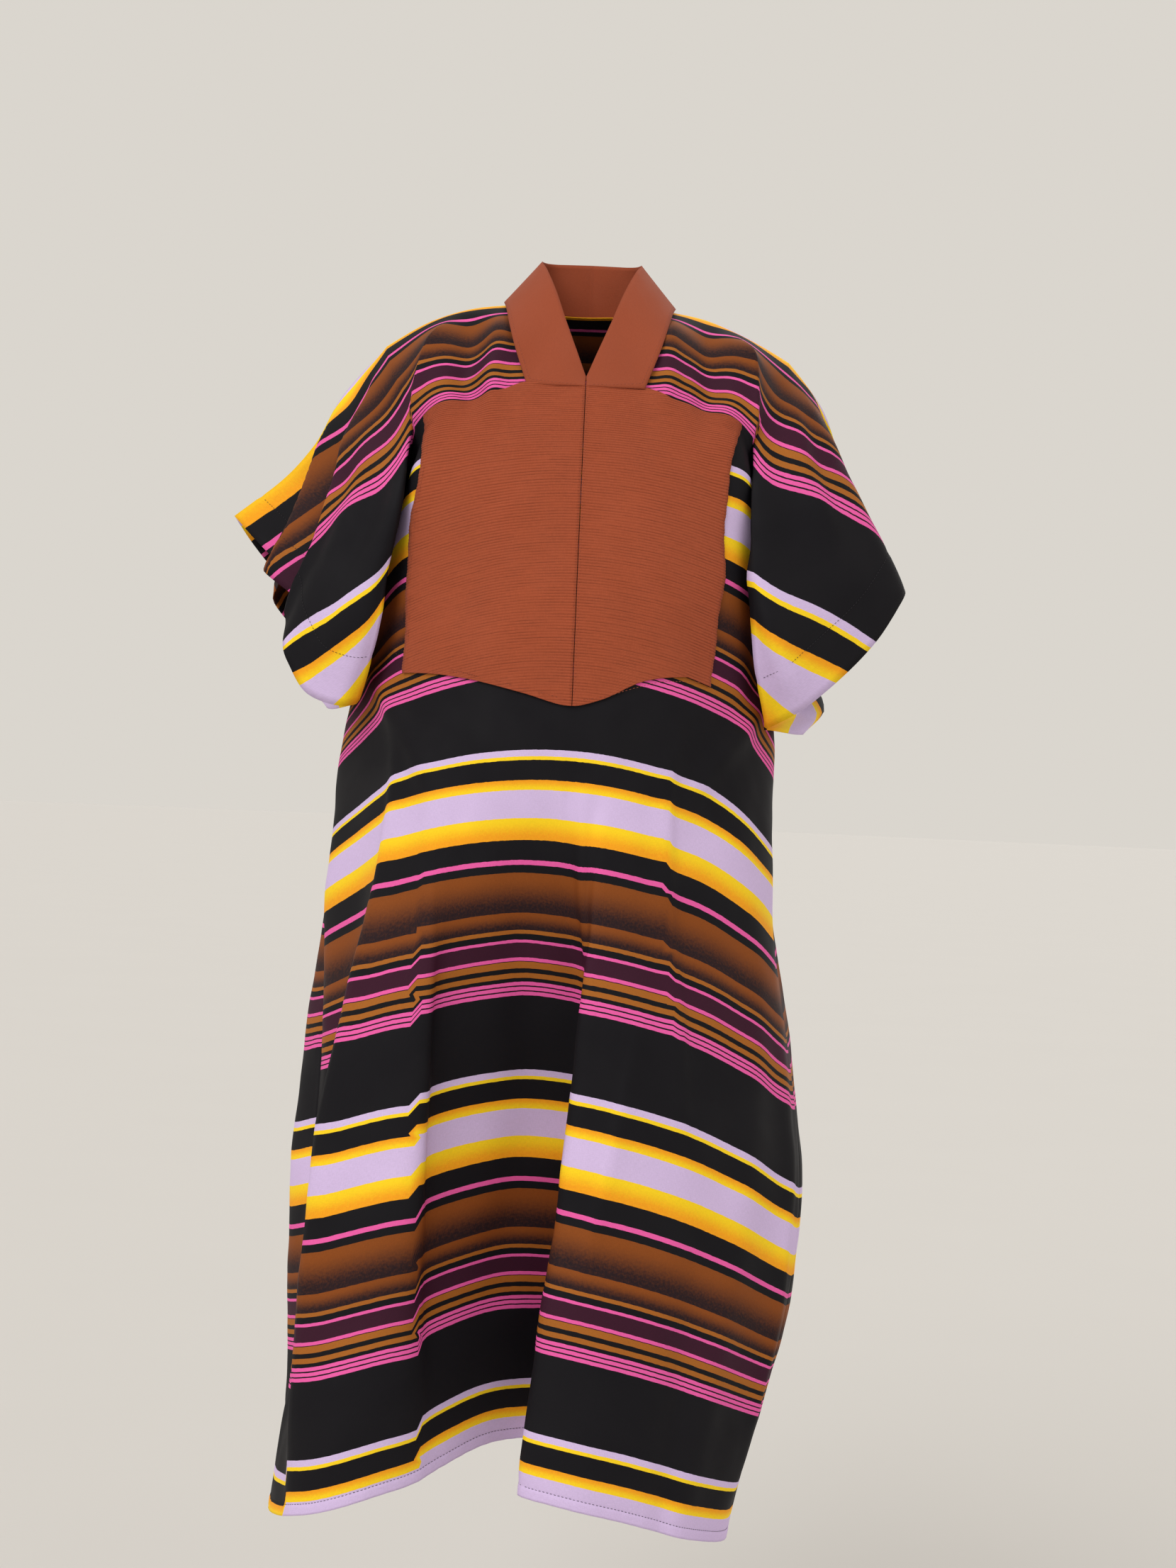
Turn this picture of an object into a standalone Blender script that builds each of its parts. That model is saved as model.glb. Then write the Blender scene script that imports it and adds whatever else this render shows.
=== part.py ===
"""A loose kimono-cut robe of striped cotton, worn: front and back panels with grown-on sleeves,
a standing neck band and a bib in two halves. Metres, +Z up, the front faces -Y.

The origin is at the base of the neck, where the wearer's shoulders carry the robe.
Right and left are the wearer's, so right is -X. Every panel is a map from flat-cut cloth to space:
t runs across a panel from its right edge (-1) to its left edge (+1), and drop runs down it from
the shoulder seam, measured along the cloth."""

import bmesh
import bpy
import numpy as np

# Flat cut
ROBE_LENGTH = 1.209
BODY_HALF_WIDTH = 0.370
YOKE_HALF_WIDTH = 0.200
DART_DROP = 0.155
UNDERARM_DROP = 0.345
NECK_HALF_SHOULDER = 0.072
NECK_HALF_FRONT = 0.044
NECK_HALF_BACK = 0.060
FRONT_NECK_DROP = 0.168
BACK_NECK_DROP = 0.028
BIB_TOP_DROP = 0.184
BIB_HALF_WIDTH = 0.150

# Cloth walls and the gaps between pieces
CLOTH_WALL = 0.0015
BAND_WALL = 0.0020
BIB_WALL = 0.0018
BIB_STANDOFF = 0.0033
BAND_STANDOFF = 0.0036
SEAM_INSET = 0.0008
SEAM_SHIFT = 0.0014
CENTRE_GAP = 0.0006
ARMPIT_BULGE = 0.020

# Height of each weft line at the centre, how much it falls towards a side, and how it tilts. The
# hem rises in the skirt's hollow, which lies between these places across the panel.
SAG = 1.30
HOLLOW_RIGHT = (-0.16, -0.06)
HOLLOW_LEFT = (-0.06, 0.01)
LEVELS = (
    # drop, centre height, tilt towards the left, extra fall at the side seam, lift of the hollow
    ("chest", 0.345, -0.235, 0.00, 0.043, 0.000),
    ("waist", 0.600, -0.473, 0.05, 0.025, 0.000),
    ("hip", 0.850, -0.722, 0.09, 0.010, 0.006),
    ("hem", 1.209, -1.083, 0.12, 0.000, 0.020),
)

# One row for each crease or side of the skirt: its place across the flat panel, then x and y at
# the chest, waist, hip and hem levels
FRONT_SKIRT = (
    ("seam_right", -0.370, -0.196, 0.020, -0.222, 0.035, -0.224, -0.035, -0.245, 0.005),
    ("side_right", -0.325, -0.198, -0.020, -0.224, -0.010, -0.214, -0.066, -0.254, -0.045),
    ("tuck_right", -0.285, -0.188, -0.056, -0.188, -0.080, -0.190, -0.104, -0.243, -0.095),
    ("corner_right", -0.250, -0.174, -0.086, -0.165, -0.124, -0.205, -0.140, -0.222, -0.138),
    ("front_right", -0.200, -0.152, -0.120, -0.137, -0.154, -0.165, -0.168, -0.178, -0.168),
    ("crease_right", -0.158, -0.122, -0.141, -0.108, -0.172, -0.120, -0.172, -0.132, -0.155),
    ("inside_crease", -0.140, -0.108, -0.147, -0.096, -0.174, -0.110, -0.158, -0.112, -0.138),
    ("hollow", -0.080, -0.068, -0.163, -0.062, -0.182, -0.045, -0.128, -0.057, -0.090),
    ("lap_root", -0.010, -0.012, -0.172, -0.010, -0.186, 0.028, -0.112, 0.000, -0.055),
    ("lap_return", 0.050, 0.040, -0.171, 0.018, -0.188, 0.034, -0.155, 0.010, -0.118),
    ("lap_edge", 0.100, 0.078, -0.163, 0.037, -0.189, 0.019, -0.196, -0.015, -0.176),
    ("front_left", 0.150, 0.116, -0.146, 0.070, -0.179, 0.058, -0.200, 0.036, -0.196),
    ("crease_left", 0.190, 0.143, -0.126, 0.102, -0.160, 0.100, -0.186, 0.085, -0.184),
    ("side_left", 0.280, 0.172, -0.068, 0.168, -0.100, 0.175, -0.130, 0.142, -0.140),
    ("wrap_left", 0.330, 0.182, -0.025, 0.193, -0.045, 0.215, -0.085, 0.166, -0.096),
    ("seam_left", 0.370, 0.182, 0.020, 0.196, 0.020, 0.229, -0.055, 0.174, -0.060),
)
BACK_SKIRT = (
    ("seam_right", -0.370, -0.196, 0.020, -0.222, 0.035, -0.224, -0.035, -0.245, 0.005),
    ("side_right", -0.320, -0.194, 0.062, -0.230, 0.078, -0.250, 0.012, -0.250, 0.055),
    ("ridge_right", -0.240, -0.165, 0.108, -0.185, 0.130, -0.222, 0.098, -0.212, 0.122),
    ("trough_right", -0.150, -0.105, 0.122, -0.115, 0.126, -0.138, 0.112, -0.122, 0.098),
    ("ridge_middle", -0.060, -0.040, 0.140, -0.045, 0.160, -0.055, 0.168, -0.052, 0.176),
    ("trough_middle", 0.030, 0.025, 0.135, 0.025, 0.140, 0.015, 0.134, 0.012, 0.120),
    ("ridge_left", 0.130, 0.095, 0.129, 0.102, 0.144, 0.110, 0.158, 0.090, 0.158),
    ("trough_left", 0.220, 0.152, 0.106, 0.158, 0.108, 0.180, 0.108, 0.138, 0.088),
    ("side_left", 0.310, 0.182, 0.062, 0.197, 0.072, 0.236, 0.030, 0.174, 0.020),
    ("seam_left", 0.370, 0.182, 0.020, 0.196, 0.020, 0.229, -0.055, 0.174, -0.060),
)

# Yoke sections, the same on both sides: distance out from the centre (as a part of the panel's
# half), then x, y and z
FRONT_YOKE = (
    ("slope", 0.080, ((0.0, 0.000, -0.078, -0.030), (0.5, 0.090, -0.072, -0.032),
                      (0.8, 0.146, -0.062, -0.047), (1.0, 0.180, -0.052, -0.075))),
    ("collarbone", 0.155, ((0.0, 0.000, -0.124, -0.083), (0.5, 0.088, -0.117, -0.086),
                           (0.8, 0.138, -0.112, -0.102), (1.0, 0.157, -0.100, -0.125))),
    ("breast", 0.250, ((0.0, 0.000, -0.152, -0.150), (0.45, 0.104, -0.138, -0.158),
                       (0.7, 0.151, -0.117, -0.170), (0.85, 0.160, -0.078, -0.195),
                       (1.0, 0.168, -0.038, -0.225))),
)
BACK_YOKE = (
    ("slope", 0.080, ((0.0, 0.000, 0.070, -0.024), (0.5, 0.090, 0.066, -0.028),
                      (0.8, 0.146, 0.060, -0.045), (1.0, 0.182, 0.052, -0.074))),
    ("blade", 0.155, ((0.0, 0.000, 0.104, -0.086), (0.5, 0.090, 0.102, -0.090),
                      (0.8, 0.140, 0.094, -0.104), (1.0, 0.168, 0.080, -0.128))),
    ("shoulder_fold", 0.250, ((0.0, 0.000, 0.124, -0.172), (0.45, 0.106, 0.116, -0.178),
                              (0.7, 0.154, 0.092, -0.190), (0.85, 0.164, 0.066, -0.206),
                              (1.0, 0.176, 0.038, -0.228))),
)
SHOULDER_Y = 0.008
SHOULDER_REACH = 0.192
SHOULDER_FALL = 1.74
SHOULDER_CURVE = 1.74

# Sleeve edges, each from the shoulder or the neck side outwards or from the shoulder seam down:
# a place along the edge, then x, y and z. The mouth runs from the sleeve's tip to its underside.
SLEEVES = {
    "right": {
        "side": -1,
        "ridge": ((0.0, -0.192, 0.008, -0.040), (0.22, -0.229, 0.006, -0.085),
                  (0.55, -0.260, 0.010, -0.140), (0.75, -0.286, 0.016, -0.170),
                  (1.0, -0.334, 0.022, -0.209)),
        "front_fold": ((0.0, -0.157, -0.100, -0.125), (0.3, -0.163, -0.126, -0.205),
                       (0.6, -0.171, -0.130, -0.272), (0.85, -0.181, -0.122, -0.338),
                       (1.0, -0.196, -0.102, -0.388)),
        "front_mouth": ((0.0, -0.334, 0.022, -0.209), (0.27, -0.286, -0.040, -0.268),
                        (0.48, -0.262, -0.072, -0.302), (0.74, -0.262, -0.092, -0.352),
                        (0.84, -0.242, -0.098, -0.381), (0.93, -0.212, -0.108, -0.391),
                        (1.0, -0.196, -0.102, -0.388)),
        "back_fold": ((0.0, -0.168, 0.080, -0.128), (0.35, -0.188, 0.098, -0.215),
                      (0.7, -0.212, 0.078, -0.318), (0.86, -0.230, 0.000, -0.368),
                      (1.0, -0.196, -0.102, -0.388)),
        "back_mouth": ((0.0, -0.334, 0.022, -0.209), (0.25, -0.306, 0.070, -0.262),
                       (0.50, -0.268, 0.092, -0.325), (0.74, -0.236, 0.062, -0.372),
                       (0.88, -0.232, -0.022, -0.392), (1.0, -0.196, -0.102, -0.388)),
    },
    "left": {
        "side": 1,
        "ridge": ((0.0, 0.192, 0.008, -0.040), (0.22, 0.223, 0.004, -0.080),
                  (0.55, 0.250, 0.010, -0.142), (0.75, 0.272, 0.018, -0.184),
                  (1.0, 0.305, 0.032, -0.246)),
        "front_fold": ((0.0, 0.157, -0.100, -0.125), (0.3, 0.153, -0.126, -0.198),
                       (0.6, 0.158, -0.132, -0.275), (0.85, 0.164, -0.124, -0.346),
                       (1.0, 0.176, -0.102, -0.397)),
        "front_mouth": ((0.0, 0.305, 0.032, -0.246), (0.22, 0.286, -0.010, -0.262),
                        (0.46, 0.296, -0.062, -0.278), (0.56, 0.284, -0.080, -0.300),
                        (0.74, 0.250, -0.100, -0.341), (0.92, 0.196, -0.112, -0.386),
                        (1.0, 0.176, -0.102, -0.397)),
        "back_fold": ((0.0, 0.168, 0.080, -0.128), (0.35, 0.184, 0.098, -0.215),
                      (0.7, 0.200, 0.078, -0.322), (0.86, 0.214, 0.000, -0.374),
                      (1.0, 0.176, -0.102, -0.397)),
        "back_mouth": ((0.0, 0.305, 0.032, -0.246), (0.25, 0.288, 0.076, -0.285),
                       (0.50, 0.254, 0.094, -0.338), (0.74, 0.218, 0.062, -0.382),
                       (0.88, 0.216, -0.022, -0.398), (1.0, 0.176, -0.102, -0.397)),
    },
}

# Bib outline: distance of its side edges from the centre at each drop, and the drop of its lower
# edge at each distance across
BIB_SIDES = (
    # drop, right edge, left edge
    (0.184, 0.142, 0.140),
    (0.215, 0.142, 0.136),
    (0.250, 0.144, 0.133),
    (0.300, 0.150, 0.128),
    (0.350, 0.153, 0.129),
    (0.450, 0.152, 0.122),
    (0.510, 0.150, 0.120),
)
BIB_LOWER_EDGE = (
    # across, drop
    (-0.155, 0.446),
    (-0.103, 0.470),
    (-0.043, 0.496),
    (0.000, 0.508),
    (0.030, 0.500),
    (0.075, 0.475),
    (0.123, 0.458),
)

# Neck band from the centre front round the side to the centre back, the same on both sides.
# Its outer edge lies on a panel, at a distance across and a drop; its free edge stands at x, y, z.
BAND = (
    ("centre_front", "front", 0.0005, 0.177, 0.0005, -0.1290, -0.087),
    ("mitre", "front", 0.027, 0.177, 0.010, -0.116, -0.060),
    ("corner", "front", 0.053, 0.175, 0.020, -0.096, -0.032),
    ("chest", "front", 0.067, 0.120, 0.032, -0.064, 0.004),
    ("throat", "front", 0.076, 0.062, 0.042, -0.030, 0.030),
    ("shoulder", "front", 0.080, 0.012, 0.047, 0.004, 0.043),
    ("nape_side", "back", 0.070, 0.030, 0.039, 0.036, 0.048),
    ("nape", "back", 0.000, 0.044, 0.000, 0.050, 0.051),
)


def spline(knots, rows, places):
    """Smooth curve through rows at the knots, read at each place; ends keep their own slope."""
    knots = np.asarray(knots, float)
    rows = np.asarray(rows, float)
    places = np.clip(np.asarray(places, float), knots[0], knots[-1])
    slopes = np.gradient(rows, knots, axis=0)
    k = np.clip(np.searchsorted(knots, places, side="right") - 1, 0, len(knots) - 2)
    step = (knots[k + 1] - knots[k])[:, None]
    s = ((places - knots[k]) / step[:, 0])[:, None]
    if rows.ndim == 3:
        pick = np.arange(rows.shape[1])
        p0, p1, m0, m1 = rows[k, pick], rows[k + 1, pick], slopes[k, pick], slopes[k + 1, pick]
    else:
        p0, p1, m0, m1 = rows[k], rows[k + 1], slopes[k], slopes[k + 1]
    return ((2 * s**3 - 3 * s**2 + 1) * p0 + (s**3 - 2 * s**2 + s) * step * m0
            + (3 * s**2 - 2 * s**3) * p1 + (s**3 - s**2) * step * m1)


def fade(value, low, high):
    """0 below low, 1 above high and smooth between."""
    s = np.clip((value - low) / (high - low), 0, 1)
    return s * s * (3 - 2 * s)


def half_width(drop):
    """Half of the body's flat width at a drop: the yoke's, widening to the underarm, then the skirt's."""
    return np.interp(drop, (DART_DROP, UNDERARM_DROP), (YOKE_HALF_WIDTH, BODY_HALF_WIDTH))


def skirt_section(table, other, level, t):
    """A skirt section at one level, as points at each t. The other panel's rows beside the seams
    make the two panels run smoothly into each other."""
    _, _, height, tilt, seam_fall, lift = LEVELS[level]
    column = 2 + 2 * level
    knots = [row[1] for row in table]
    plan = [row[column:column + 2] for row in table]
    knots = [2 * knots[0] - other[1][1]] + knots + [2 * knots[-1] - other[-2][1]]
    plan = [other[1][column:column + 2]] + plan + [other[-2][column:column + 2]]
    across = t * BODY_HALF_WIDTH
    xy = spline(knots, plan, across)
    x = xy[:, 0]
    z = height - SAG * x**2 - tilt * x - seam_fall * fade(np.abs(t), 0.55, 1.0)
    z = z + lift * fade(across, *HOLLOW_RIGHT) * fade(-across, *HOLLOW_LEFT)
    return np.column_stack((xy, z))


def yoke_section(rows, t):
    """A yoke section, mirrored about the centre."""
    knots = [-row[0] for row in reversed(rows)] + [row[0] for row in rows[1:]]
    points = [(-x, y, z) for _, x, y, z in reversed(rows)] + [row[1:] for row in rows[1:]]
    return spline(knots, points, t)


def shoulder_line(t):
    """The shoulder seam: level at the neck, falling towards the arm."""
    x = SHOULDER_REACH * t
    fall = SHOULDER_FALL * np.maximum(np.abs(x) - NECK_HALF_SHOULDER, 0) ** SHOULDER_CURVE
    return np.column_stack((x, np.full_like(x, SHOULDER_Y), -fall))


def loose_body(face, t, drop):
    """Points of the front or back body, before its side seams are matched to the other panel's."""
    t, drop = np.asarray(t, float), np.asarray(drop, float)
    table, other, yoke, behind = (
        (FRONT_SKIRT, BACK_SKIRT, FRONT_YOKE, BACK_YOKE) if face == "front"
        else (BACK_SKIRT, FRONT_SKIRT, BACK_YOKE, FRONT_YOKE))
    knots = [-behind[0][1], 0.0]
    sections = [yoke_section(behind[0][2], t), shoulder_line(t)]
    for _, at, rows in yoke:
        knots.append(at)
        sections.append(yoke_section(rows, t))
    for level, row in enumerate(LEVELS):
        knots.append(row[1])
        sections.append(skirt_section(table, other, level, t))
    return spline(knots, sections, drop)


def body(face, t, drop):
    """Points of the front or back body at each t and drop, with matched side seams."""
    t, drop = np.asarray(t, float), np.asarray(drop, float)
    points = loose_body(face, t, drop)
    below = drop > UNDERARM_DROP
    if below.any():
        seam = np.where(t[below] < 0, -1.0, 1.0)
        front = loose_body("front", seam, drop[below])
        back = loose_body("back", seam, drop[below])
        apart = (back - front if face == "front" else front - back) / 2
        points[below] += fade(np.abs(t[below]), 0.6, 1.0)[:, None] * apart
    return points


def edge(rows, places):
    return spline([row[0] for row in rows], [row[1:] for row in rows], places)


def sleeve(face, sleeve_row, along, down):
    """Points of a sleeve's outer half: along runs from the body to the mouth, down from the
    shoulder seam to the fold that hangs over the armpit."""
    side = sleeve_row["side"]
    along, down = np.asarray(along, float), np.asarray(down, float)
    zero, one = np.zeros_like(along), np.ones_like(along)
    ridge, fold = edge(sleeve_row["ridge"], along), edge(sleeve_row[face + "_fold"], along)
    mouth = edge(sleeve_row[face + "_mouth"], down)
    hole = body(face, side * one, DART_DROP * down)
    start, dart = body(face, side * one, zero), body(face, side * one, DART_DROP * one)
    tip, foot = edge(sleeve_row["ridge"], one), edge(sleeve_row[face + "_fold"], one)
    a, d = along[:, None], down[:, None]
    ridge = ridge + (1 - a) * (start - edge(sleeve_row["ridge"], zero))
    fold = fold + (1 - a) * (dart - edge(sleeve_row[face + "_fold"], zero))
    corners = (1 - a) * (1 - d) * start + a * (1 - d) * tip + (1 - a) * d * dart + a * d * foot
    return (1 - d) * ridge + d * fold + (1 - a) * hole + a * mouth - corners


def armpit(face, sleeve_row, along, inward):
    """Points of the cloth hidden under a sleeve: from its hanging fold in to the body, where
    along runs from the dart point to the underarm seam."""
    side = sleeve_row["side"]
    along, inward = np.asarray(along, float), np.asarray(inward, float)
    one = np.ones_like(along)
    fold = sleeve(face, sleeve_row, along, one)
    drop = DART_DROP + (UNDERARM_DROP - DART_DROP) * along
    valley = body(face, side * one, drop)
    h = inward[:, None]
    points = (1 - h) * fold + h * valley
    points[:, 0] += side * ARMPIT_BULGE * np.sin(np.pi * inward) * fade(along, 0, 0.3)
    return points


def body_normal(face, t, drop):
    """Unit normals of the body, pointing away from the wearer."""
    small = 0.002
    t, drop = np.asarray(t, float), np.asarray(drop, float)
    across = body(face, t + small, drop) - body(face, t - small, drop)
    down = body(face, t, drop + small) - body(face, t, drop - small)
    out = np.cross(across, -down) if face == "front" else np.cross(-down, across)
    return out / np.linalg.norm(out, axis=1)[:, None]


def inset_t(drop):
    """How far out a panel's cloth reaches at a drop, short of the seam."""
    return 1 - SEAM_INSET / half_width(drop)


def part_seams(face, points):
    """Draws a panel a little away from the other one, so that their seams keep a gap."""
    return points + np.array((0.0, -SEAM_SHIFT if face == "front" else SEAM_SHIFT, 0.0))


def grid(mesh, points, rows, columns):
    """Adds a grid of quads; points come row by row."""
    points = points.reshape(rows, columns, 3)
    verts = [[mesh.verts.new(p) for p in row] for row in points]
    for upper, lower in zip(verts, verts[1:]):
        for a, b, c, d in zip(upper, upper[1:], lower[1:], lower):
            mesh.faces.new((a, d, c, b))


def finish(name, mesh, wall, material):
    """Turns an open sheet into a closed wall and links it to the scene."""
    bmesh.ops.remove_doubles(mesh, verts=mesh.verts, dist=0.00005)
    bmesh.ops.dissolve_degenerate(mesh, edges=mesh.edges, dist=0.00005)
    bmesh.ops.recalc_face_normals(mesh, faces=mesh.faces)
    data = bpy.data.meshes.new(name)
    mesh.to_mesh(data)
    mesh.free()
    data.shade_smooth()
    data.materials.append(material)
    piece = bpy.data.objects.new(name, data)
    bpy.context.scene.collection.objects.link(piece)
    shell = piece.modifiers.new("wall", "SOLIDIFY")
    shell.thickness = wall
    shell.offset = 0.0
    return piece


def paint(name, colour, roughness):
    material = bpy.data.materials.new(name)
    material.use_nodes = True
    shader = material.node_tree.nodes["Principled BSDF"]
    shader.inputs["Base Color"].default_value = (*colour, 1)
    shader.inputs["Roughness"].default_value = roughness
    shader.inputs["Metallic"].default_value = 0.0
    return material


def spread(stops, counts):
    """Places from stop to stop, with so many steps in each stretch."""
    parts = [np.linspace(a, b, n, endpoint=False) for a, b, n in zip(stops, stops[1:], counts)]
    return np.append(np.concatenate(parts), stops[-1])


def panel(face, skirt_steps, neck_drop, material):
    """A whole panel: the body with its neck opening, and both sleeve halves."""
    mesh = bmesh.new()
    front = face == "front"
    if front:
        collar_rows = spread((SEAM_INSET, DART_DROP), (6,))
    else:
        collar_rows = spread((SEAM_INSET, neck_drop, DART_DROP), (2, 4))
    arm_rows = spread((DART_DROP, FRONT_NECK_DROP, UNDERARM_DROP), (1, 5))
    skirt_rows = spread((UNDERARM_DROP, 0.60, 0.85, ROBE_LENGTH), (4, 4, 6))
    drops = np.concatenate((collar_rows, arm_rows[1:], skirt_rows[1:]))

    neck = np.interp(drops, (0, neck_drop),
                     (NECK_HALF_SHOULDER, NECK_HALF_FRONT if front else NECK_HALF_BACK))
    neck_t = neck / half_width(drops)
    reach = np.where(drops < UNDERARM_DROP - 1e-6, 1.0, inset_t(drops))
    for side in (-1, 1):
        steps = np.linspace(0, 1, skirt_steps + 1)
        t = side * (neck_t[:, None] + (reach - neck_t)[:, None] * steps[None, :])
        d = np.repeat(drops, len(steps))
        grid(mesh, part_seams(face, body(face, t.ravel(), d)), len(drops), len(steps))
    below = drops >= neck_drop - 1e-9
    steps = np.linspace(-1, 1, 5)
    t = neck_t[below][:, None] * steps[None, :]
    d = np.repeat(drops[below], len(steps))
    grid(mesh, part_seams(face, body(face, t.ravel(), d)), int(below.sum()), len(steps))

    along = (arm_rows - DART_DROP) / (UNDERARM_DROP - DART_DROP)
    down = collar_rows / DART_DROP
    for row in SLEEVES.values():
        p, q = np.meshgrid(along, down, indexing="ij")
        points = sleeve(face, row, p.ravel(), q.ravel())
        grid(mesh, part_seams(face, points), len(along), len(down))
        inward = np.linspace(0, 1, 4)
        p, h = np.meshgrid(along, inward, indexing="ij")
        points = armpit(face, row, p.ravel(), h.ravel())
        grid(mesh, part_seams(face, points), len(along), len(inward))
    return finish(face + "_panel", mesh, CLOTH_WALL, material)


def place_at(face, x, drop):
    """The t at which the body's point at each drop lies at x."""
    steps = np.linspace(-1, 1, 161)
    found = []
    for one_x, one_drop in zip(x, drop):
        across = body(face, steps, np.full_like(steps, one_drop))[:, 0]
        found.append(np.interp(one_x, np.maximum.accumulate(across), steps))
    return np.array(found)


def lifted(face, x, drop, distance):
    """Points on the outside of the body, moved out by a distance."""
    t = place_at(face, x, drop)
    return part_seams(face, body(face, t, drop)) + distance * body_normal(face, t, drop)


def bib_half(name, side, across_steps, down_steps, material):
    """One half of the bib, from the centre seam to its side edge."""
    lower = np.array(BIB_LOWER_EDGE)
    sides = np.array(BIB_SIDES)
    across = np.linspace(0, 1, across_steps)
    down = np.linspace(0, 1, down_steps)
    f, g = np.meshgrid(across, down, indexing="xy")
    f, g = f.ravel(), g.ravel()
    reach = BIB_HALF_WIDTH * side * f
    drop = BIB_TOP_DROP + g * (np.interp(reach, lower[:, 0], lower[:, 1]) - BIB_TOP_DROP)
    edge_x = np.interp(drop, sides[:, 0], sides[:, 1 if side < 0 else 2])
    x = side * (CENTRE_GAP / 2 + f * (edge_x - CENTRE_GAP / 2))
    mesh = bmesh.new()
    grid(mesh, lifted("front", x, drop, BIB_STANDOFF), down_steps, across_steps)
    return finish(name, mesh, BIB_WALL, material)


def neck_band(stations, rows, material):
    """The band: a strip standing round the neck, with its ends side by side at the centre front."""
    place = np.arange(len(BAND), dtype=float)
    at = np.linspace(0, len(BAND) - 1, stations)
    outer = []
    for _, face, x, drop, *_ in BAND:
        outer.append(lifted(face, [x], [drop], BAND_STANDOFF)[0])
    inner = [row[4:] for row in BAND]
    outer, inner = spline(place, outer, at), spline(place, inner, at)
    half = np.stack([outer + (inner - outer) * s for s in np.linspace(0, 1, rows)])
    mirrored = half[:, -2::-1] * np.array((-1.0, 1.0, 1.0))
    mesh = bmesh.new()
    strip = np.concatenate((half, mirrored), axis=1)
    grid(mesh, strip, rows, strip.shape[1])
    return finish("neck_band", mesh, BAND_WALL, material)


def build():
    for old in list(bpy.data.objects):
        bpy.data.objects.remove(old)
    cotton = paint("striped_cotton", (0.10, 0.05, 0.06), 0.75)
    rust = paint("rust_band_cotton", (0.39, 0.09, 0.04), 0.80)
    ribbed = paint("rust_ribbed_cloth", (0.37, 0.09, 0.04), 0.90)
    panel("front", 13, FRONT_NECK_DROP, cotton)
    panel("back", 9, BACK_NECK_DROP, cotton)
    neck_band(29, 5, rust)
    bib_half("bib_right", -1, 12, 18, ribbed)
    bib_half("bib_left", 1, 12, 18, ribbed)


build()
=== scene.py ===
"""A worn kimono-cut robe in striped cotton: two panels with grown-on sleeves, a standing neck band
and a ribbed bib in two halves, with its creases, hems and stitches. Metres, +Z up, front to -Y.

Cloth places are given on the flat cut: u runs across from the centre (the wearer's left is +) and
v runs down from the shoulder seam. Every panel is a map from (u, v) to space."""

import math

import bmesh
import bpy
import numpy as np
from mathutils import Matrix, Vector, kdtree


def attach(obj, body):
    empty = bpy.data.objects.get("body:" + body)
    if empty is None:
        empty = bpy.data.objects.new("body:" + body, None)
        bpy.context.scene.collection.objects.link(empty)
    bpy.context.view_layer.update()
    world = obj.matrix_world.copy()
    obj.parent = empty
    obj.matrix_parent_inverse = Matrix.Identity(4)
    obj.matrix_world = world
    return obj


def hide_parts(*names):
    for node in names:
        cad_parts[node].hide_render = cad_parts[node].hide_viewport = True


bl_info = {
    "name": "Worn Striped Robe",
    "version": (1, 0, 0),
    "blender": (4, 5, 0),
    "location": "3D View > Sidebar > Robe",
    "description": "Makes the cloth of a worn kimono-cut robe round its packed frame",
    "category": "Object",
}

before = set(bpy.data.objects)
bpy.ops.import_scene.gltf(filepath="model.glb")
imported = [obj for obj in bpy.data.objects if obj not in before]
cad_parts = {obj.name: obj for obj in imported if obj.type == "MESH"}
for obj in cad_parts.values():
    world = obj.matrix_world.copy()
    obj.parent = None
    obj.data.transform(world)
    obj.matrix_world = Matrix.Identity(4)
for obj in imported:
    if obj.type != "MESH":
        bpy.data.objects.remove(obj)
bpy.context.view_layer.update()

# Flat cut
ROBE_LENGTH = 1.209
BODY_HALF_WIDTH = 0.370
SLEEVE_HALF_SPAN = 0.460
YOKE_HALF_WIDTH = 0.200
DART_DROP = 0.155
UNDERARM_DROP = 0.345
SLEEVE_DEPTH = 0.335
NECK_HALF_SHOULDER = 0.072
NECK_HALF_FRONT = 0.044
FRONT_NECK_DROP = 0.168
BACK_NECK_DROP = 0.028
NECK_HALF_BACK = 0.060
BAND_WIDTH = 0.057
BIB_TOP_DROP = 0.184
BIB_HALF_WIDTH = 0.150

# Cloth walls and the gaps between pieces
BIB_LIFT = 0.0022
BAND_LIFT = 0.0036
SEAM_INSET = 0.0008
SEAM_SHIFT = 0.0014
CENTRE_GAP = 0.0006
ARMPIT_BULGE = 0.020

# Height of each weft line at the centre, how much it falls towards a side, and how it tilts. The
# hem rises in the skirt's hollow, which lies between these places across the panel.
SAG = 1.30
HOLLOW_RIGHT = (-0.16, -0.06)
HOLLOW_LEFT = (-0.06, 0.01)
LEVELS = (
    # drop, centre height, tilt towards the left, extra fall at the side seam, lift of the hollow
    ("chest", 0.345, -0.235, 0.00, 0.043, 0.000),
    ("waist", 0.600, -0.473, 0.05, 0.025, 0.000),
    ("hip", 0.850, -0.722, 0.09, 0.010, 0.006),
    ("hem", 1.209, -1.083, 0.12, 0.000, 0.020),
)

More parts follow.
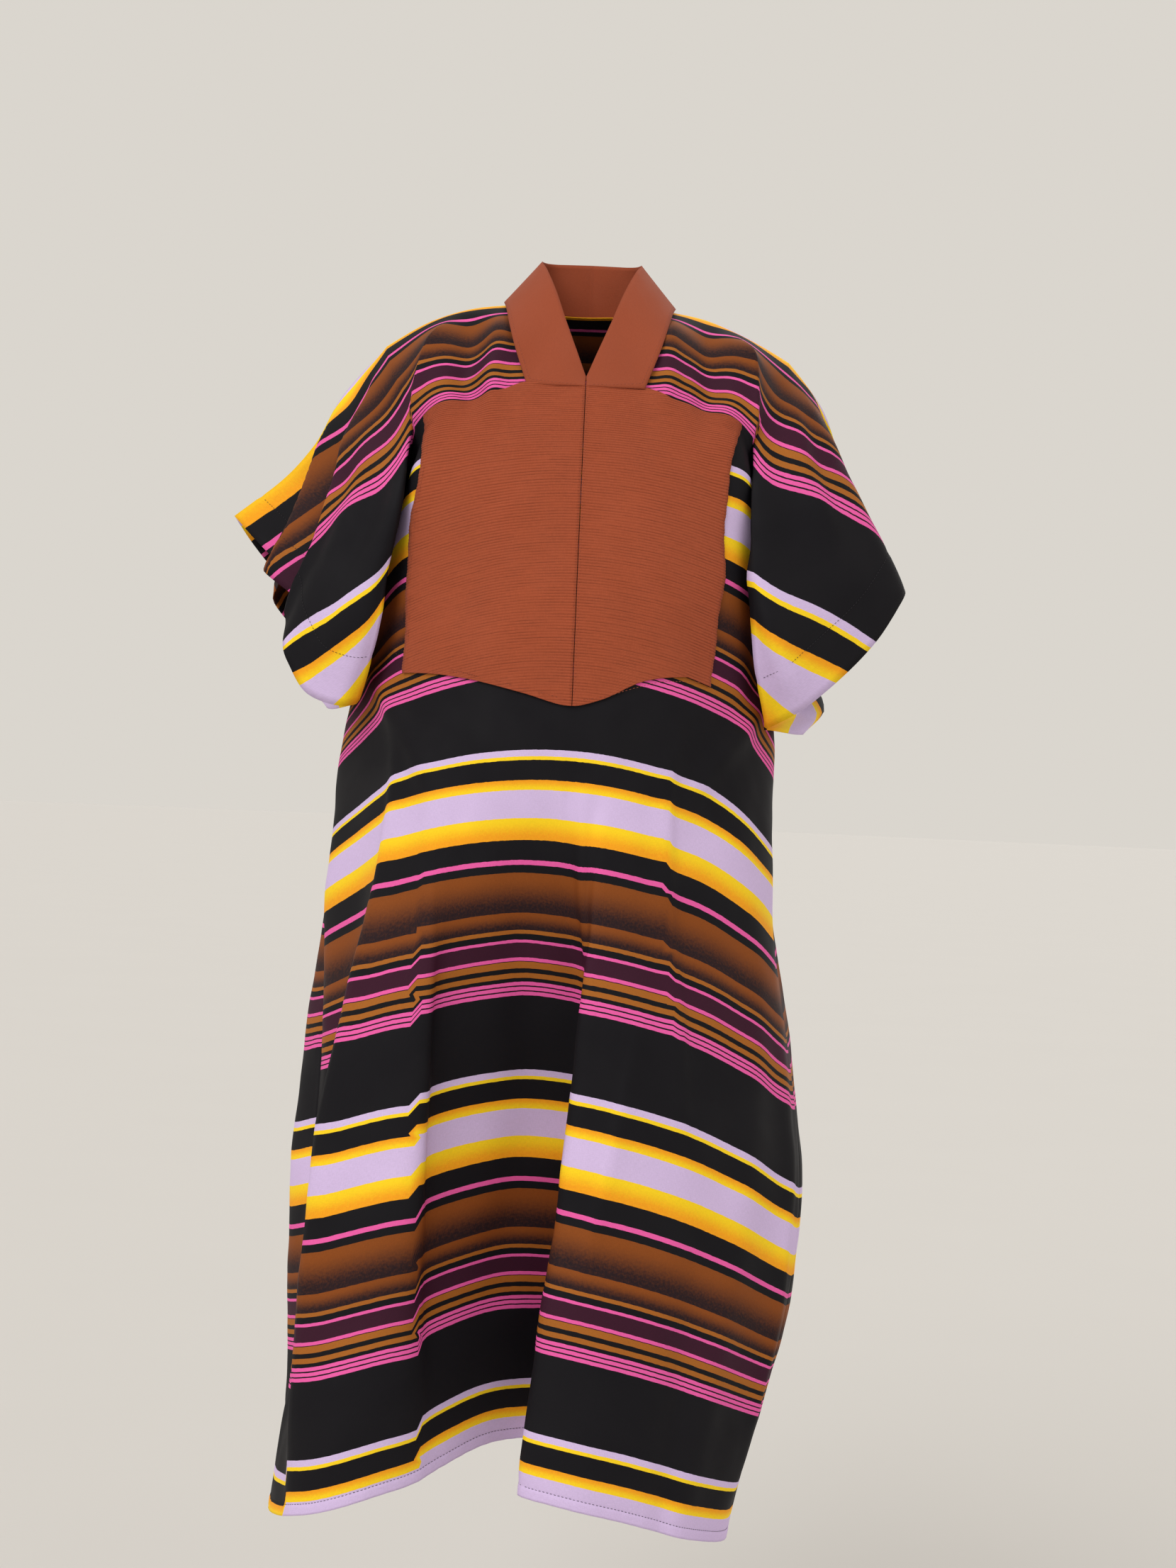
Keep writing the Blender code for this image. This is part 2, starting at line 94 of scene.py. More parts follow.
# One row for each crease or side of the skirt: its place across the flat panel, then x and y at
# the chest, waist, hip and hem levels
FRONT_SKIRT = (
    ("seam_right", -0.370, -0.196, 0.020, -0.222, 0.035, -0.224, -0.035, -0.245, 0.005),
    ("side_right", -0.325, -0.198, -0.020, -0.224, -0.010, -0.214, -0.066, -0.254, -0.045),
    ("tuck_right", -0.285, -0.188, -0.056, -0.188, -0.080, -0.190, -0.104, -0.243, -0.095),
    ("corner_right", -0.250, -0.174, -0.086, -0.165, -0.124, -0.205, -0.140, -0.222, -0.138),
    ("front_right", -0.200, -0.152, -0.120, -0.137, -0.154, -0.165, -0.168, -0.178, -0.168),
    ("crease_right", -0.158, -0.122, -0.141, -0.108, -0.172, -0.120, -0.172, -0.132, -0.155),
    ("inside_crease", -0.140, -0.108, -0.147, -0.096, -0.174, -0.110, -0.158, -0.112, -0.138),
    ("hollow", -0.080, -0.068, -0.163, -0.062, -0.182, -0.045, -0.128, -0.057, -0.090),
    ("lap_root", -0.010, -0.012, -0.172, -0.010, -0.186, 0.028, -0.112, 0.000, -0.055),
    ("lap_return", 0.050, 0.040, -0.171, 0.018, -0.188, 0.034, -0.155, 0.010, -0.118),
    ("lap_edge", 0.100, 0.078, -0.163, 0.037, -0.189, 0.019, -0.196, -0.015, -0.176),
    ("front_left", 0.150, 0.116, -0.146, 0.070, -0.179, 0.058, -0.200, 0.036, -0.196),
    ("crease_left", 0.190, 0.143, -0.126, 0.102, -0.160, 0.100, -0.186, 0.085, -0.184),
    ("side_left", 0.280, 0.172, -0.068, 0.168, -0.100, 0.175, -0.130, 0.142, -0.140),
    ("wrap_left", 0.330, 0.182, -0.025, 0.193, -0.045, 0.215, -0.085, 0.166, -0.096),
    ("seam_left", 0.370, 0.182, 0.020, 0.196, 0.020, 0.229, -0.055, 0.174, -0.060),
)
BACK_SKIRT = (
    ("seam_right", -0.370, -0.196, 0.020, -0.222, 0.035, -0.224, -0.035, -0.245, 0.005),
    ("side_right", -0.320, -0.194, 0.062, -0.230, 0.078, -0.250, 0.012, -0.250, 0.055),
    ("ridge_right", -0.240, -0.165, 0.108, -0.185, 0.130, -0.222, 0.098, -0.212, 0.122),
    ("trough_right", -0.150, -0.105, 0.122, -0.115, 0.126, -0.138, 0.112, -0.122, 0.098),
    ("ridge_middle", -0.060, -0.040, 0.140, -0.045, 0.160, -0.055, 0.168, -0.052, 0.176),
    ("trough_middle", 0.030, 0.025, 0.135, 0.025, 0.140, 0.015, 0.134, 0.012, 0.120),
    ("ridge_left", 0.130, 0.095, 0.129, 0.102, 0.144, 0.110, 0.158, 0.090, 0.158),
    ("trough_left", 0.220, 0.152, 0.106, 0.158, 0.108, 0.180, 0.108, 0.138, 0.088),
    ("side_left", 0.310, 0.182, 0.062, 0.197, 0.072, 0.236, 0.030, 0.174, 0.020),
    ("seam_left", 0.370, 0.182, 0.020, 0.196, 0.020, 0.229, -0.055, 0.174, -0.060),
)

# Yoke sections, the same on both sides: distance out from the centre (as a part of the panel's
# half), then x, y and z
FRONT_YOKE = (
    ("slope", 0.080, ((0.0, 0.000, -0.078, -0.030), (0.5, 0.090, -0.072, -0.032),
                      (0.8, 0.146, -0.062, -0.047), (1.0, 0.180, -0.052, -0.075))),
    ("collarbone", 0.155, ((0.0, 0.000, -0.124, -0.083), (0.5, 0.088, -0.117, -0.086),
                           (0.8, 0.138, -0.112, -0.102), (1.0, 0.157, -0.100, -0.125))),
    ("breast", 0.250, ((0.0, 0.000, -0.152, -0.150), (0.45, 0.104, -0.138, -0.158),
                       (0.7, 0.151, -0.117, -0.170), (0.85, 0.160, -0.078, -0.195),
                       (1.0, 0.168, -0.038, -0.225))),
)
BACK_YOKE = (
    ("slope", 0.080, ((0.0, 0.000, 0.070, -0.024), (0.5, 0.090, 0.066, -0.028),
                      (0.8, 0.146, 0.060, -0.045), (1.0, 0.182, 0.052, -0.074))),
    ("blade", 0.155, ((0.0, 0.000, 0.104, -0.086), (0.5, 0.090, 0.102, -0.090),
                      (0.8, 0.140, 0.094, -0.104), (1.0, 0.168, 0.080, -0.128))),
    ("shoulder_fold", 0.250, ((0.0, 0.000, 0.124, -0.172), (0.45, 0.106, 0.116, -0.178),
                              (0.7, 0.154, 0.092, -0.190), (0.85, 0.164, 0.066, -0.206),
                              (1.0, 0.176, 0.038, -0.228))),
)
SHOULDER_Y = 0.008
SHOULDER_REACH = 0.192
SHOULDER_FALL = 1.74
SHOULDER_CURVE = 1.74

# Steps of the grids of cloth
STEPS_ACROSS = 64
STEPS_UNDER_NECK = 16
STEPS_UNDER_ARM = 16
BIB_STEPS = (44, 480)
BAND_STEPS = (140, 14)

# Sleeve edges, each from the shoulder or the neck side outwards or from the shoulder seam down:
# a place along the edge, then x, y and z. The mouth runs from the sleeve's tip to its underside.
SLEEVES = {
    "right": {
        "side": -1,
        "ridge": ((0.0, -0.192, 0.008, -0.040), (0.22, -0.229, 0.006, -0.085),
                  (0.55, -0.260, 0.010, -0.140), (0.75, -0.286, 0.016, -0.170),
                  (1.0, -0.334, 0.022, -0.209)),
        "front_fold": ((0.0, -0.157, -0.100, -0.125), (0.3, -0.163, -0.126, -0.205),
                       (0.6, -0.171, -0.130, -0.272), (0.85, -0.181, -0.122, -0.338),
                       (1.0, -0.196, -0.102, -0.388)),
        "front_mouth": ((0.0, -0.334, 0.022, -0.209), (0.27, -0.286, -0.040, -0.268),
                        (0.48, -0.262, -0.072, -0.302), (0.74, -0.262, -0.092, -0.352),
                        (0.84, -0.242, -0.098, -0.381), (0.93, -0.212, -0.108, -0.391),
                        (1.0, -0.196, -0.102, -0.388)),
        "back_fold": ((0.0, -0.168, 0.080, -0.128), (0.35, -0.188, 0.098, -0.215),
                      (0.7, -0.212, 0.078, -0.318), (0.86, -0.230, 0.000, -0.368),
                      (1.0, -0.196, -0.102, -0.388)),
        "back_mouth": ((0.0, -0.334, 0.022, -0.209), (0.25, -0.306, 0.070, -0.262),
                       (0.50, -0.268, 0.092, -0.325), (0.74, -0.236, 0.062, -0.372),
                       (0.88, -0.232, -0.022, -0.392), (1.0, -0.196, -0.102, -0.388)),
    },
    "left": {
        "side": 1,
        "ridge": ((0.0, 0.192, 0.008, -0.040), (0.22, 0.223, 0.004, -0.080),
                  (0.55, 0.250, 0.010, -0.142), (0.75, 0.272, 0.018, -0.184),
                  (1.0, 0.305, 0.032, -0.246)),
        "front_fold": ((0.0, 0.157, -0.100, -0.125), (0.3, 0.153, -0.126, -0.198),
                       (0.6, 0.158, -0.132, -0.275), (0.85, 0.164, -0.124, -0.346),
                       (1.0, 0.176, -0.102, -0.397)),
        "front_mouth": ((0.0, 0.305, 0.032, -0.246), (0.22, 0.286, -0.010, -0.262),
                        (0.46, 0.296, -0.062, -0.278), (0.56, 0.284, -0.080, -0.300),
                        (0.74, 0.250, -0.100, -0.341), (0.92, 0.196, -0.112, -0.386),
                        (1.0, 0.176, -0.102, -0.397)),
        "back_fold": ((0.0, 0.168, 0.080, -0.128), (0.35, 0.184, 0.098, -0.215),
                      (0.7, 0.200, 0.078, -0.322), (0.86, 0.214, 0.000, -0.374),
                      (1.0, 0.176, -0.102, -0.397)),
        "back_mouth": ((0.0, 0.305, 0.032, -0.246), (0.25, 0.288, 0.076, -0.285),
                       (0.50, 0.254, 0.094, -0.338), (0.74, 0.218, 0.062, -0.382),
                       (0.88, 0.216, -0.022, -0.398), (1.0, 0.176, -0.102, -0.397)),
    },
}

# Bib outline: distance of its side edges from the centre at each drop, and the drop of its lower
# edge at each distance across
BIB_SIDES = (
    # drop, right edge, left edge
    (0.184, 0.142, 0.140),
    (0.215, 0.142, 0.136),
    (0.250, 0.144, 0.133),
    (0.300, 0.150, 0.128),
    (0.350, 0.153, 0.129),
    (0.450, 0.152, 0.122),
    (0.510, 0.150, 0.120),
)
BIB_LOWER_EDGE = (
    # across, drop
    (-0.155, 0.446),
    (-0.103, 0.470),
    (-0.043, 0.496),
    (0.000, 0.508),
    (0.030, 0.500),
    (0.075, 0.475),
    (0.123, 0.458),
)

# Fine shape of the bib. Its top tucks up under the band, out to the first distance from the centre
# and fading out at the second.
BIB_TUCK = 0.012
BIB_TUCK_ENDS = (0.055, 0.085)
BIB_EDGE_WAVES = (
    # size, radians in each metre along the edge, phase
    (0.0006, 90.0, 1.0),
    (0.0002, 430.0, 0.0),
)
RIB_WAVES = (
    # size in radians, radians in each metre across and down
    (0.4, 47.0, 0.0),
    (0.3, 131.0, 9.0),
)
CENTRE_SEAM_RISE = 0.0010
CENTRE_SEAM_REACH = 0.003

# Stitches of the bib: how far in from its edges they run, how far out from the centre those of the
# centre seam lie and how they slant, and where each line stops
STITCH_INSET = 0.004
SEAM_STITCH_OUT = 0.0016
SEAM_STITCH_SLANT = 0.8
SIDE_STITCH_END = 0.440
LOWER_STITCH_END = 0.112
SEAM_STITCH_END = 0.500

# Walls of the bib and the band, in thicknesses of the cotton
BIB_WALLS = 1.5
BAND_WALLS = 2.0

# Neck band from the centre front round the side to the centre back, the same on both sides.
# Its outer edge lies on a panel, at a distance across and a drop; its free edge stands at x, y, z.
BAND = (
    ("centre_front", "front", 0.0005, 0.177, 0.0005, -0.1290, -0.087),
    ("mitre", "front", 0.027, 0.177, 0.010, -0.116, -0.060),
    ("corner", "front", 0.053, 0.175, 0.020, -0.096, -0.032),
    ("chest", "front", 0.067, 0.120, 0.032, -0.064, 0.004),
    ("throat", "front", 0.076, 0.062, 0.042, -0.030, 0.030),
    ("shoulder", "front", 0.080, 0.012, 0.047, 0.004, 0.043),
    ("nape_side", "back", 0.070, 0.030, 0.039, 0.036, 0.048),
    ("nape", "back", 0.000, 0.044, 0.000, 0.050, 0.051),
)


def spline(knots, rows, places):
    """Smooth curve through rows at the knots, read at each place; ends keep their own slope."""
    knots = np.asarray(knots, float)
    rows = np.asarray(rows, float)
    places = np.clip(np.asarray(places, float), knots[0], knots[-1])
    slopes = np.gradient(rows, knots, axis=0)
    k = np.clip(np.searchsorted(knots, places, side="right") - 1, 0, len(knots) - 2)
    step = (knots[k + 1] - knots[k])[:, None]
    s = ((places - knots[k]) / step[:, 0])[:, None]
    if rows.ndim == 3:
        pick = np.arange(rows.shape[1])
        p0, p1, m0, m1 = rows[k, pick], rows[k + 1, pick], slopes[k, pick], slopes[k + 1, pick]
    else:
        p0, p1, m0, m1 = rows[k], rows[k + 1], slopes[k], slopes[k + 1]
    return ((2 * s**3 - 3 * s**2 + 1) * p0 + (s**3 - 2 * s**2 + s) * step * m0
            + (3 * s**2 - 2 * s**3) * p1 + (s**3 - s**2) * step * m1)


def fade(value, low, high):
    """0 below low, 1 above high and smooth between."""
    s = np.clip((value - low) / (high - low), 0, 1)
    return s * s * (3 - 2 * s)


def half_width(drop):
    """Half of the body's flat width at a drop, widening from the yoke's to the skirt's."""
    return np.interp(drop, (DART_DROP, UNDERARM_DROP), (YOKE_HALF_WIDTH, BODY_HALF_WIDTH))


def skirt_section(table, other, level, t):
    """A skirt section at one level, as points at each t. The other panel's rows beside the seams
    make the two panels run smoothly into each other."""
    _, _, height, tilt, seam_fall, lift = LEVELS[level]
    column = 2 + 2 * level
    knots = [row[1] for row in table]
    plan = [row[column:column + 2] for row in table]
    knots = [2 * knots[0] - other[1][1]] + knots + [2 * knots[-1] - other[-2][1]]
    plan = [other[1][column:column + 2]] + plan + [other[-2][column:column + 2]]
    across = t * BODY_HALF_WIDTH
    xy = spline(knots, plan, across)
    x = xy[:, 0]
    z = height - SAG * x**2 - tilt * x - seam_fall * fade(np.abs(t), 0.55, 1.0)
    z = z + lift * fade(across, *HOLLOW_RIGHT) * fade(-across, *HOLLOW_LEFT)
    return np.column_stack((xy, z))


def yoke_section(rows, t):
    """A yoke section, mirrored about the centre."""
    knots = [-row[0] for row in reversed(rows)] + [row[0] for row in rows[1:]]
    points = [(-x, y, z) for _, x, y, z in reversed(rows)] + [row[1:] for row in rows[1:]]
    return spline(knots, points, t)


def shoulder_line(t):
    """The shoulder seam: level at the neck, falling towards the arm."""
    x = SHOULDER_REACH * t
    fall = SHOULDER_FALL * np.maximum(np.abs(x) - NECK_HALF_SHOULDER, 0) ** SHOULDER_CURVE
    return np.column_stack((x, np.full_like(x, SHOULDER_Y), -fall))


def loose_body(face, t, drop):
    """Points of the front or back body, before its side seams are matched to the other panel's."""
    t, drop = np.asarray(t, float), np.asarray(drop, float)
    table, other, yoke, behind = (
        (FRONT_SKIRT, BACK_SKIRT, FRONT_YOKE, BACK_YOKE) if face == "front"
        else (BACK_SKIRT, FRONT_SKIRT, BACK_YOKE, FRONT_YOKE))
    knots = [-behind[0][1], 0.0]
    sections = [yoke_section(behind[0][2], t), shoulder_line(t)]
    for _, at, rows in yoke:
        knots.append(at)
        sections.append(yoke_section(rows, t))
    for level, row in enumerate(LEVELS):
        knots.append(row[1])
        sections.append(skirt_section(table, other, level, t))
    return spline(knots, sections, drop)


def body(face, t, drop):
    """Points of the front or back body at each t and drop, with matched side seams."""
    t, drop = np.asarray(t, float), np.asarray(drop, float)
    points = loose_body(face, t, drop)
    below = drop > UNDERARM_DROP
    if below.any():
        seam = np.where(t[below] < 0, -1.0, 1.0)
        front = loose_body("front", seam, drop[below])
        back = loose_body("back", seam, drop[below])
        apart = (back - front if face == "front" else front - back) / 2
        points[below] += fade(np.abs(t[below]), 0.6, 1.0)[:, None] * apart
    return points


def edge(rows, places):
    """Points along one edge of a sleeve."""
    return spline([row[0] for row in rows], [row[1:] for row in rows], places)


def sleeve(face, sleeve_row, along, down):
    """Points of a sleeve's outer half: along runs from the body to the mouth, down from the
    shoulder seam to the fold that hangs over the armpit."""
    side = sleeve_row["side"]
    along, down = np.asarray(along, float), np.asarray(down, float)
    zero, one = np.zeros_like(along), np.ones_like(along)
    ridge, fold = edge(sleeve_row["ridge"], along), edge(sleeve_row[face + "_fold"], along)
    mouth = edge(sleeve_row[face + "_mouth"], down)
    hole = body(face, side * one, DART_DROP * down)
    start, dart = body(face, side * one, zero), body(face, side * one, DART_DROP * one)
    tip, foot = edge(sleeve_row["ridge"], one), edge(sleeve_row[face + "_fold"], one)
    a, d = along[:, None], down[:, None]
    ridge = ridge + (1 - a) * (start - edge(sleeve_row["ridge"], zero))
    fold = fold + (1 - a) * (dart - edge(sleeve_row[face + "_fold"], zero))
    corners = (1 - a) * (1 - d) * start + a * (1 - d) * tip + (1 - a) * d * dart + a * d * foot
    return (1 - d) * ridge + d * fold + (1 - a) * hole + a * mouth - corners


def armpit(face, sleeve_row, along, inward):
    """Points of the cloth hidden under a sleeve: from its hanging fold in to the body, where
    along runs from the dart point to the underarm seam."""
    side = sleeve_row["side"]
    along, inward = np.asarray(along, float), np.asarray(inward, float)
    one = np.ones_like(along)
    fold = sleeve(face, sleeve_row, along, one)
    drop = DART_DROP + (UNDERARM_DROP - DART_DROP) * along
    valley = body(face, side * one, drop)
    h = inward[:, None]
    points = (1 - h) * fold + h * valley
    points[:, 0] += side * ARMPIT_BULGE * np.sin(np.pi * inward) * fade(along, 0, 0.3)
    return points


def part_seams(face, points):
    """Draws a panel a little away from the other one, so that their seams keep a gap."""
    return points + np.array((0.0, -SEAM_SHIFT if face == "front" else SEAM_SHIFT, 0.0))


# Creases pressed into the cloth, each along a line on the flat cut. Height is out from the cloth,
# lean moves the crest sideways (towards + across the line) and bow curves the line. Soft and lap
# creases are rounded, sharp ones are pressed, and a step is one layer lying over the next. Each
# fades out over the same share of its length at both ends.
CREASE_END = 0.3
STEP_EDGE = 0.35
STEP_SLOPE = 2.5
FRONT_CREASES = (
    # name, u and v at its start, u and v at its end, bow, width, height, lean, profile
    # Yoke: ridges and troughs that run from the shoulder down to the bib's corners
    ("dart_ridge_right", -0.136, 0.045, -0.214, 0.210, 0.000, 0.012, 0.009, 0.000, "sharp"),
    ("yoke_trough_right", -0.120, 0.030, -0.130, 0.230, 0.000, 0.017, -0.010, 0.000, "soft"),
    ("yoke_ridge_right", -0.088, 0.050, -0.104, 0.230, 0.000, 0.012, 0.006, 0.000, "soft"),
    ("dart_ridge_left", 0.148, 0.045, 0.206, 0.210, 0.000, 0.012, 0.010, 0.000, "sharp"),
    ("yoke_trough_left", 0.120, 0.020, 0.138, 0.240, 0.000, 0.017, -0.009, 0.000, "soft"),
    ("yoke_ridge_left", 0.086, 0.040, 0.085, 0.220, 0.000, 0.012, 0.005, 0.000, "soft"),
    # Right sleeve: three layers that lap over each other towards the mouth
    ("right_layer_2", -0.270, -0.010, -0.520, 0.110, 0.000, 0.018, 0.012, -0.010, "step"),
    ("right_layer_3", -0.215, 0.040, -0.520, 0.190, 0.000, 0.018, 0.013, -0.010, "step"),
    ("right_sleeve_drape", -0.200, 0.100, -0.380, 0.230, 0.012, 0.022, -0.006, 0.000, "soft"),
    ("right_sleeve_ridge", -0.230, 0.180, -0.470, 0.285, 0.000, 0.016, 0.006, 0.000, "soft"),
    # Left sleeve: one wide lap with a smooth flap below it
    ("left_flap", 0.230, 0.000, 0.540, 0.150, 0.000, 0.028, -0.012, 0.013, "step"),
    ("left_sleeve_ridge", 0.200, 0.080, 0.400, 0.185, -0.010, 0.018, 0.006, 0.000, "soft"),
    ("left_sleeve_trough", 0.210, 0.130, 0.470, 0.250, -0.008, 0.020, -0.005, 0.000, "soft"),
    ("left_sleeve_pleat", 0.300, 0.235, 0.480, 0.300, 0.000, 0.012, 0.006, 0.000, "soft"),
    # Skirt: the long laps and pressed creases
    ("crease_right", -0.188, 0.500, -0.138, 1.330, 0.004, 0.012, 0.005, 0.007, "lap"),
    ("corner_right", -0.225, 0.400, -0.248, 1.330, -0.006, 0.014, 0.006, -0.008, "lap"),
    ("lap_edge", 0.100, 0.640, 0.112, 1.330, -0.008, 0.014, 0.004, -0.008, "lap"),
    ("pressed_left", 0.168, 0.730, 0.128, 1.060, 0.000, 0.007, 0.004, -0.003, "sharp"),
    ("crease_left", 0.148, 0.470, 0.206, 0.900, 0.004, 0.010, 0.004, 0.004, "lap"),
    ("pressed_centre", 0.000, 0.480, -0.004, 0.860, 0.000, 0.005, 0.0016, 0.000, "sharp"),
    ("side_soft_left", 0.290, 0.560, 0.255, 1.250, 0.006, 0.020, 0.005, 0.000, "soft"),
    ("side_soft_right", -0.300, 0.620, -0.315, 1.270, 0.000, 0.018, -0.005, 0.000, "soft"),
    ("hip_trough", -0.060, 0.560, -0.090, 1.180, 0.010, 0.022, -0.004, 0.000, "soft"),
    ("hip_ridge", 0.050, 0.500, 0.020, 0.900, 0.000, 0.024, 0.004, 0.000, "soft"),
    ("chest_drag_right", -0.290, 0.380, -0.170, 0.600, 0.010, 0.016, 0.005, 0.000, "soft"),
    ("chest_drag_left", 0.300, 0.390, 0.180, 0.600, -0.010, 0.015, 0.005, 0.000, "soft"),
    ("flap_soft_left", 0.330, 0.700, 0.345, 1.190, 0.000, 0.012, 0.004, 0.000, "soft"),
    ("lap_flat_left", 0.230, 0.900, 0.215, 1.330, 0.000, 0.018, -0.004, 0.000, "soft"),
)
BACK_CREASES = (
    ("nape_fan_right", -0.040, 0.040, -0.120, 0.300, 0.000, 0.014, 0.005, 0.000, "soft"),
    ("nape_fan_left", 0.045, 0.040, 0.130, 0.280, 0.000, 0.014, 0.005, 0.000, "soft"),
    ("blade_trough_right", -0.100, 0.060, -0.180, 0.340, 0.000, 0.018, -0.006, 0.000, "soft"),
    ("blade_trough_left", 0.110, 0.060, 0.185, 0.320, 0.000, 0.018, -0.006, 0.000, "soft"),
    ("back_layer_right", -0.260, 0.010, -0.520, 0.130, 0.000, 0.022, 0.008, -0.008, "step"),
    ("back_layer_left", 0.250, 0.020, 0.520, 0.150, 0.000, 0.022, -0.008, 0.008, "step"),
    ("back_sleeve_right", -0.230, 0.170, -0.450, 0.260, 0.000, 0.018, 0.006, 0.000, "soft"),
    ("back_sleeve_left", 0.230, 0.160, 0.450, 0.250, 0.000, 0.018, 0.006, 0.000, "soft"),
    ("back_lap_right", -0.110, 0.560, -0.150, 1.330, 0.008, 0.014, 0.005, -0.007, "lap"),
    ("back_lap_left", 0.190, 0.480, 0.225, 1.330, -0.006, 0.014, 0.005, 0.007, "lap"),
    ("back_pressed", 0.000, 0.420, 0.004, 1.100, 0.000, 0.005, 0.0016, 0.000, "sharp"),
    ("back_soft_1", -0.250, 0.420, -0.280, 1.150, 0.000, 0.022, 0.006, 0.000, "soft"),
    ("back_soft_2", 0.060, 0.600, 0.085, 1.250, 0.006, 0.020, -0.005, 0.000, "soft"),
    ("back_soft_3", 0.300, 0.500, 0.290, 1.100, 0.000, 0.020, 0.005, 0.000, "soft"),
    ("back_soft_4", -0.030, 0.700, -0.055, 1.330, 0.000, 0.016, 0.005, 0.000, "soft"),
)

# Cloth tucked away in the laps of the front sleeves: where each lap lies between the shoulder seam
# (0) and the underside (1), and how much cloth it hides, at the body, half way and at the mouth.
# The print of each front sleeve also starts lower at the shoulder seam, by the shift, so it does
# not meet the back's print there.
LAP_WIDTH = 0.022
SLEEVE_PRINT_SHIFT = 0.020
TUCKS = {
    "right": (
        ("right_layer_2", (0.02, 0.05, 0.27), (0.000, 0.012, 0.030)),
        ("right_layer_3", (0.10, 0.27, 0.48), (0.000, 0.012, 0.030)),
    ),
    "left": (
        ("left_flap", (0.04, 0.10, 0.33), (0.000, 0.050, 0.095)),
    ),
}

# Where a lap shifts the print: its line across the panel at its top and at the hem, the drops where
# it starts and stops, and how far the print drops on the side towards the seam
PRINT_STEPS = (
    ("crease_right", -0.190, -0.139, 0.600, 1.500, 0.010),
    ("corner_right", -0.242, -0.256, 0.540, 1.500, 0.013),
    ("crease_left", 0.159, 0.235, 0.500, 0.860, 0.006),
)

# How far from the shoulder, underarm and side seams the creases have faded out
SHOULDER_FADE = 0.012
UNDERARM_FADE = 0.010
SIDE_FADE = 0.015

# Turned hems: their stitches' groove, how proud they stand, and the puckers round the bottom hem
HEM_GROOVE = 0.0004
HEM_RISE = 0.0004
PUCKER_HEIGHT = 0.0003
PUCKER_WAVE = 0.013
SLEEVE_HEM_FROM = (0.38, 0.39)

# Gentle unevenness of the whole cloth: wave length, direction in turns, phase and height
UNEVENNESS = (
    (0.190, 0.04, 0.3, 0.0010),
    (0.130, 0.21, 1.9, 0.0007),
    (0.083, 0.44, 4.1, 0.0004),
    (0.047, 0.13, 2.6, 0.00018),
    (0.031, 0.34, 5.2, 0.00010),
)

# The print, from the top of the wide lavender stripe down: name, width, colour at its top, colour
# at its bottom. The black ground between stripes is listed too.
INK = {
    "black": (0.0065, 0.0058, 0.0080),
    "lavender": (0.640, 0.500, 0.770),
    "yellow": (0.950, 0.650, 0.015),
    "orange": (0.900, 0.350, 0.012),
    "pink": (0.800, 0.110, 0.380),
    "ochre": (0.370, 0.120, 0.018),
    "chestnut": (0.240, 0.062, 0.010),
    "bark": (0.018, 0.009, 0.012),
    "maroon": (0.042, 0.008, 0.022),
}
BAND_SHADE = 0.84
STITCH_SHADE = 0.82
DARK_THREAD = (0.012, 0.010, 0.014)
PRINT = (
    ("lavender_wide", 0.0262, "lavender", "lavender"),
    ("yellow_to_orange", 0.0203, "yellow", "orange"),
    ("ground_1", 0.0185, "black", "black"),
    ("pink_line", 0.0045, "pink", "pink"),
    ("ground_2", 0.0073, "black", "black"),
    ("chestnut_wide", 0.0375, "chestnut", "bark"),
    ("chestnut_narrow", 0.0165, "chestnut", "bark"),
    ("ochre_line", 0.0037, "ochre", "ochre"),
    ("ground_3", 0.0057, "black", "black"),
    ("pink_thin_1", 0.0028, "pink", "pink"),
    ("maroon_band", 0.0140, "maroon", "maroon"),
    ("pink_thin_2", 0.0032, "pink", "pink"),
    ("ground_4", 0.0007, "black", "black"),
    ("ochre_band_1", 0.0062, "ochre", "ochre"),
    ("ground_5", 0.0044, "black", "black"),
    ("ochre_band_2", 0.0047, "ochre", "ochre"),
    ("ground_6", 0.0036, "black", "black"),
    ("pink_group_1", 0.0033, "pink", "pink"),
    ("ground_7", 0.0013, "black", "black"),
    ("pink_group_2", 0.0033, "pink", "pink"),
    ("ground_8", 0.0013, "black", "black"),
    ("pink_group_3", 0.0034, "pink", "pink"),
    ("ground_wide", 0.0702, "black", "black"),
    ("lavender_thin", 0.0060, "lavender", "lavender"),
    ("yellow_thin", 0.0034, "yellow", "yellow"),
    ("ground_9", 0.0187, "black", "black"),
    ("orange_to_yellow", 0.0093, "orange", "yellow"),
)


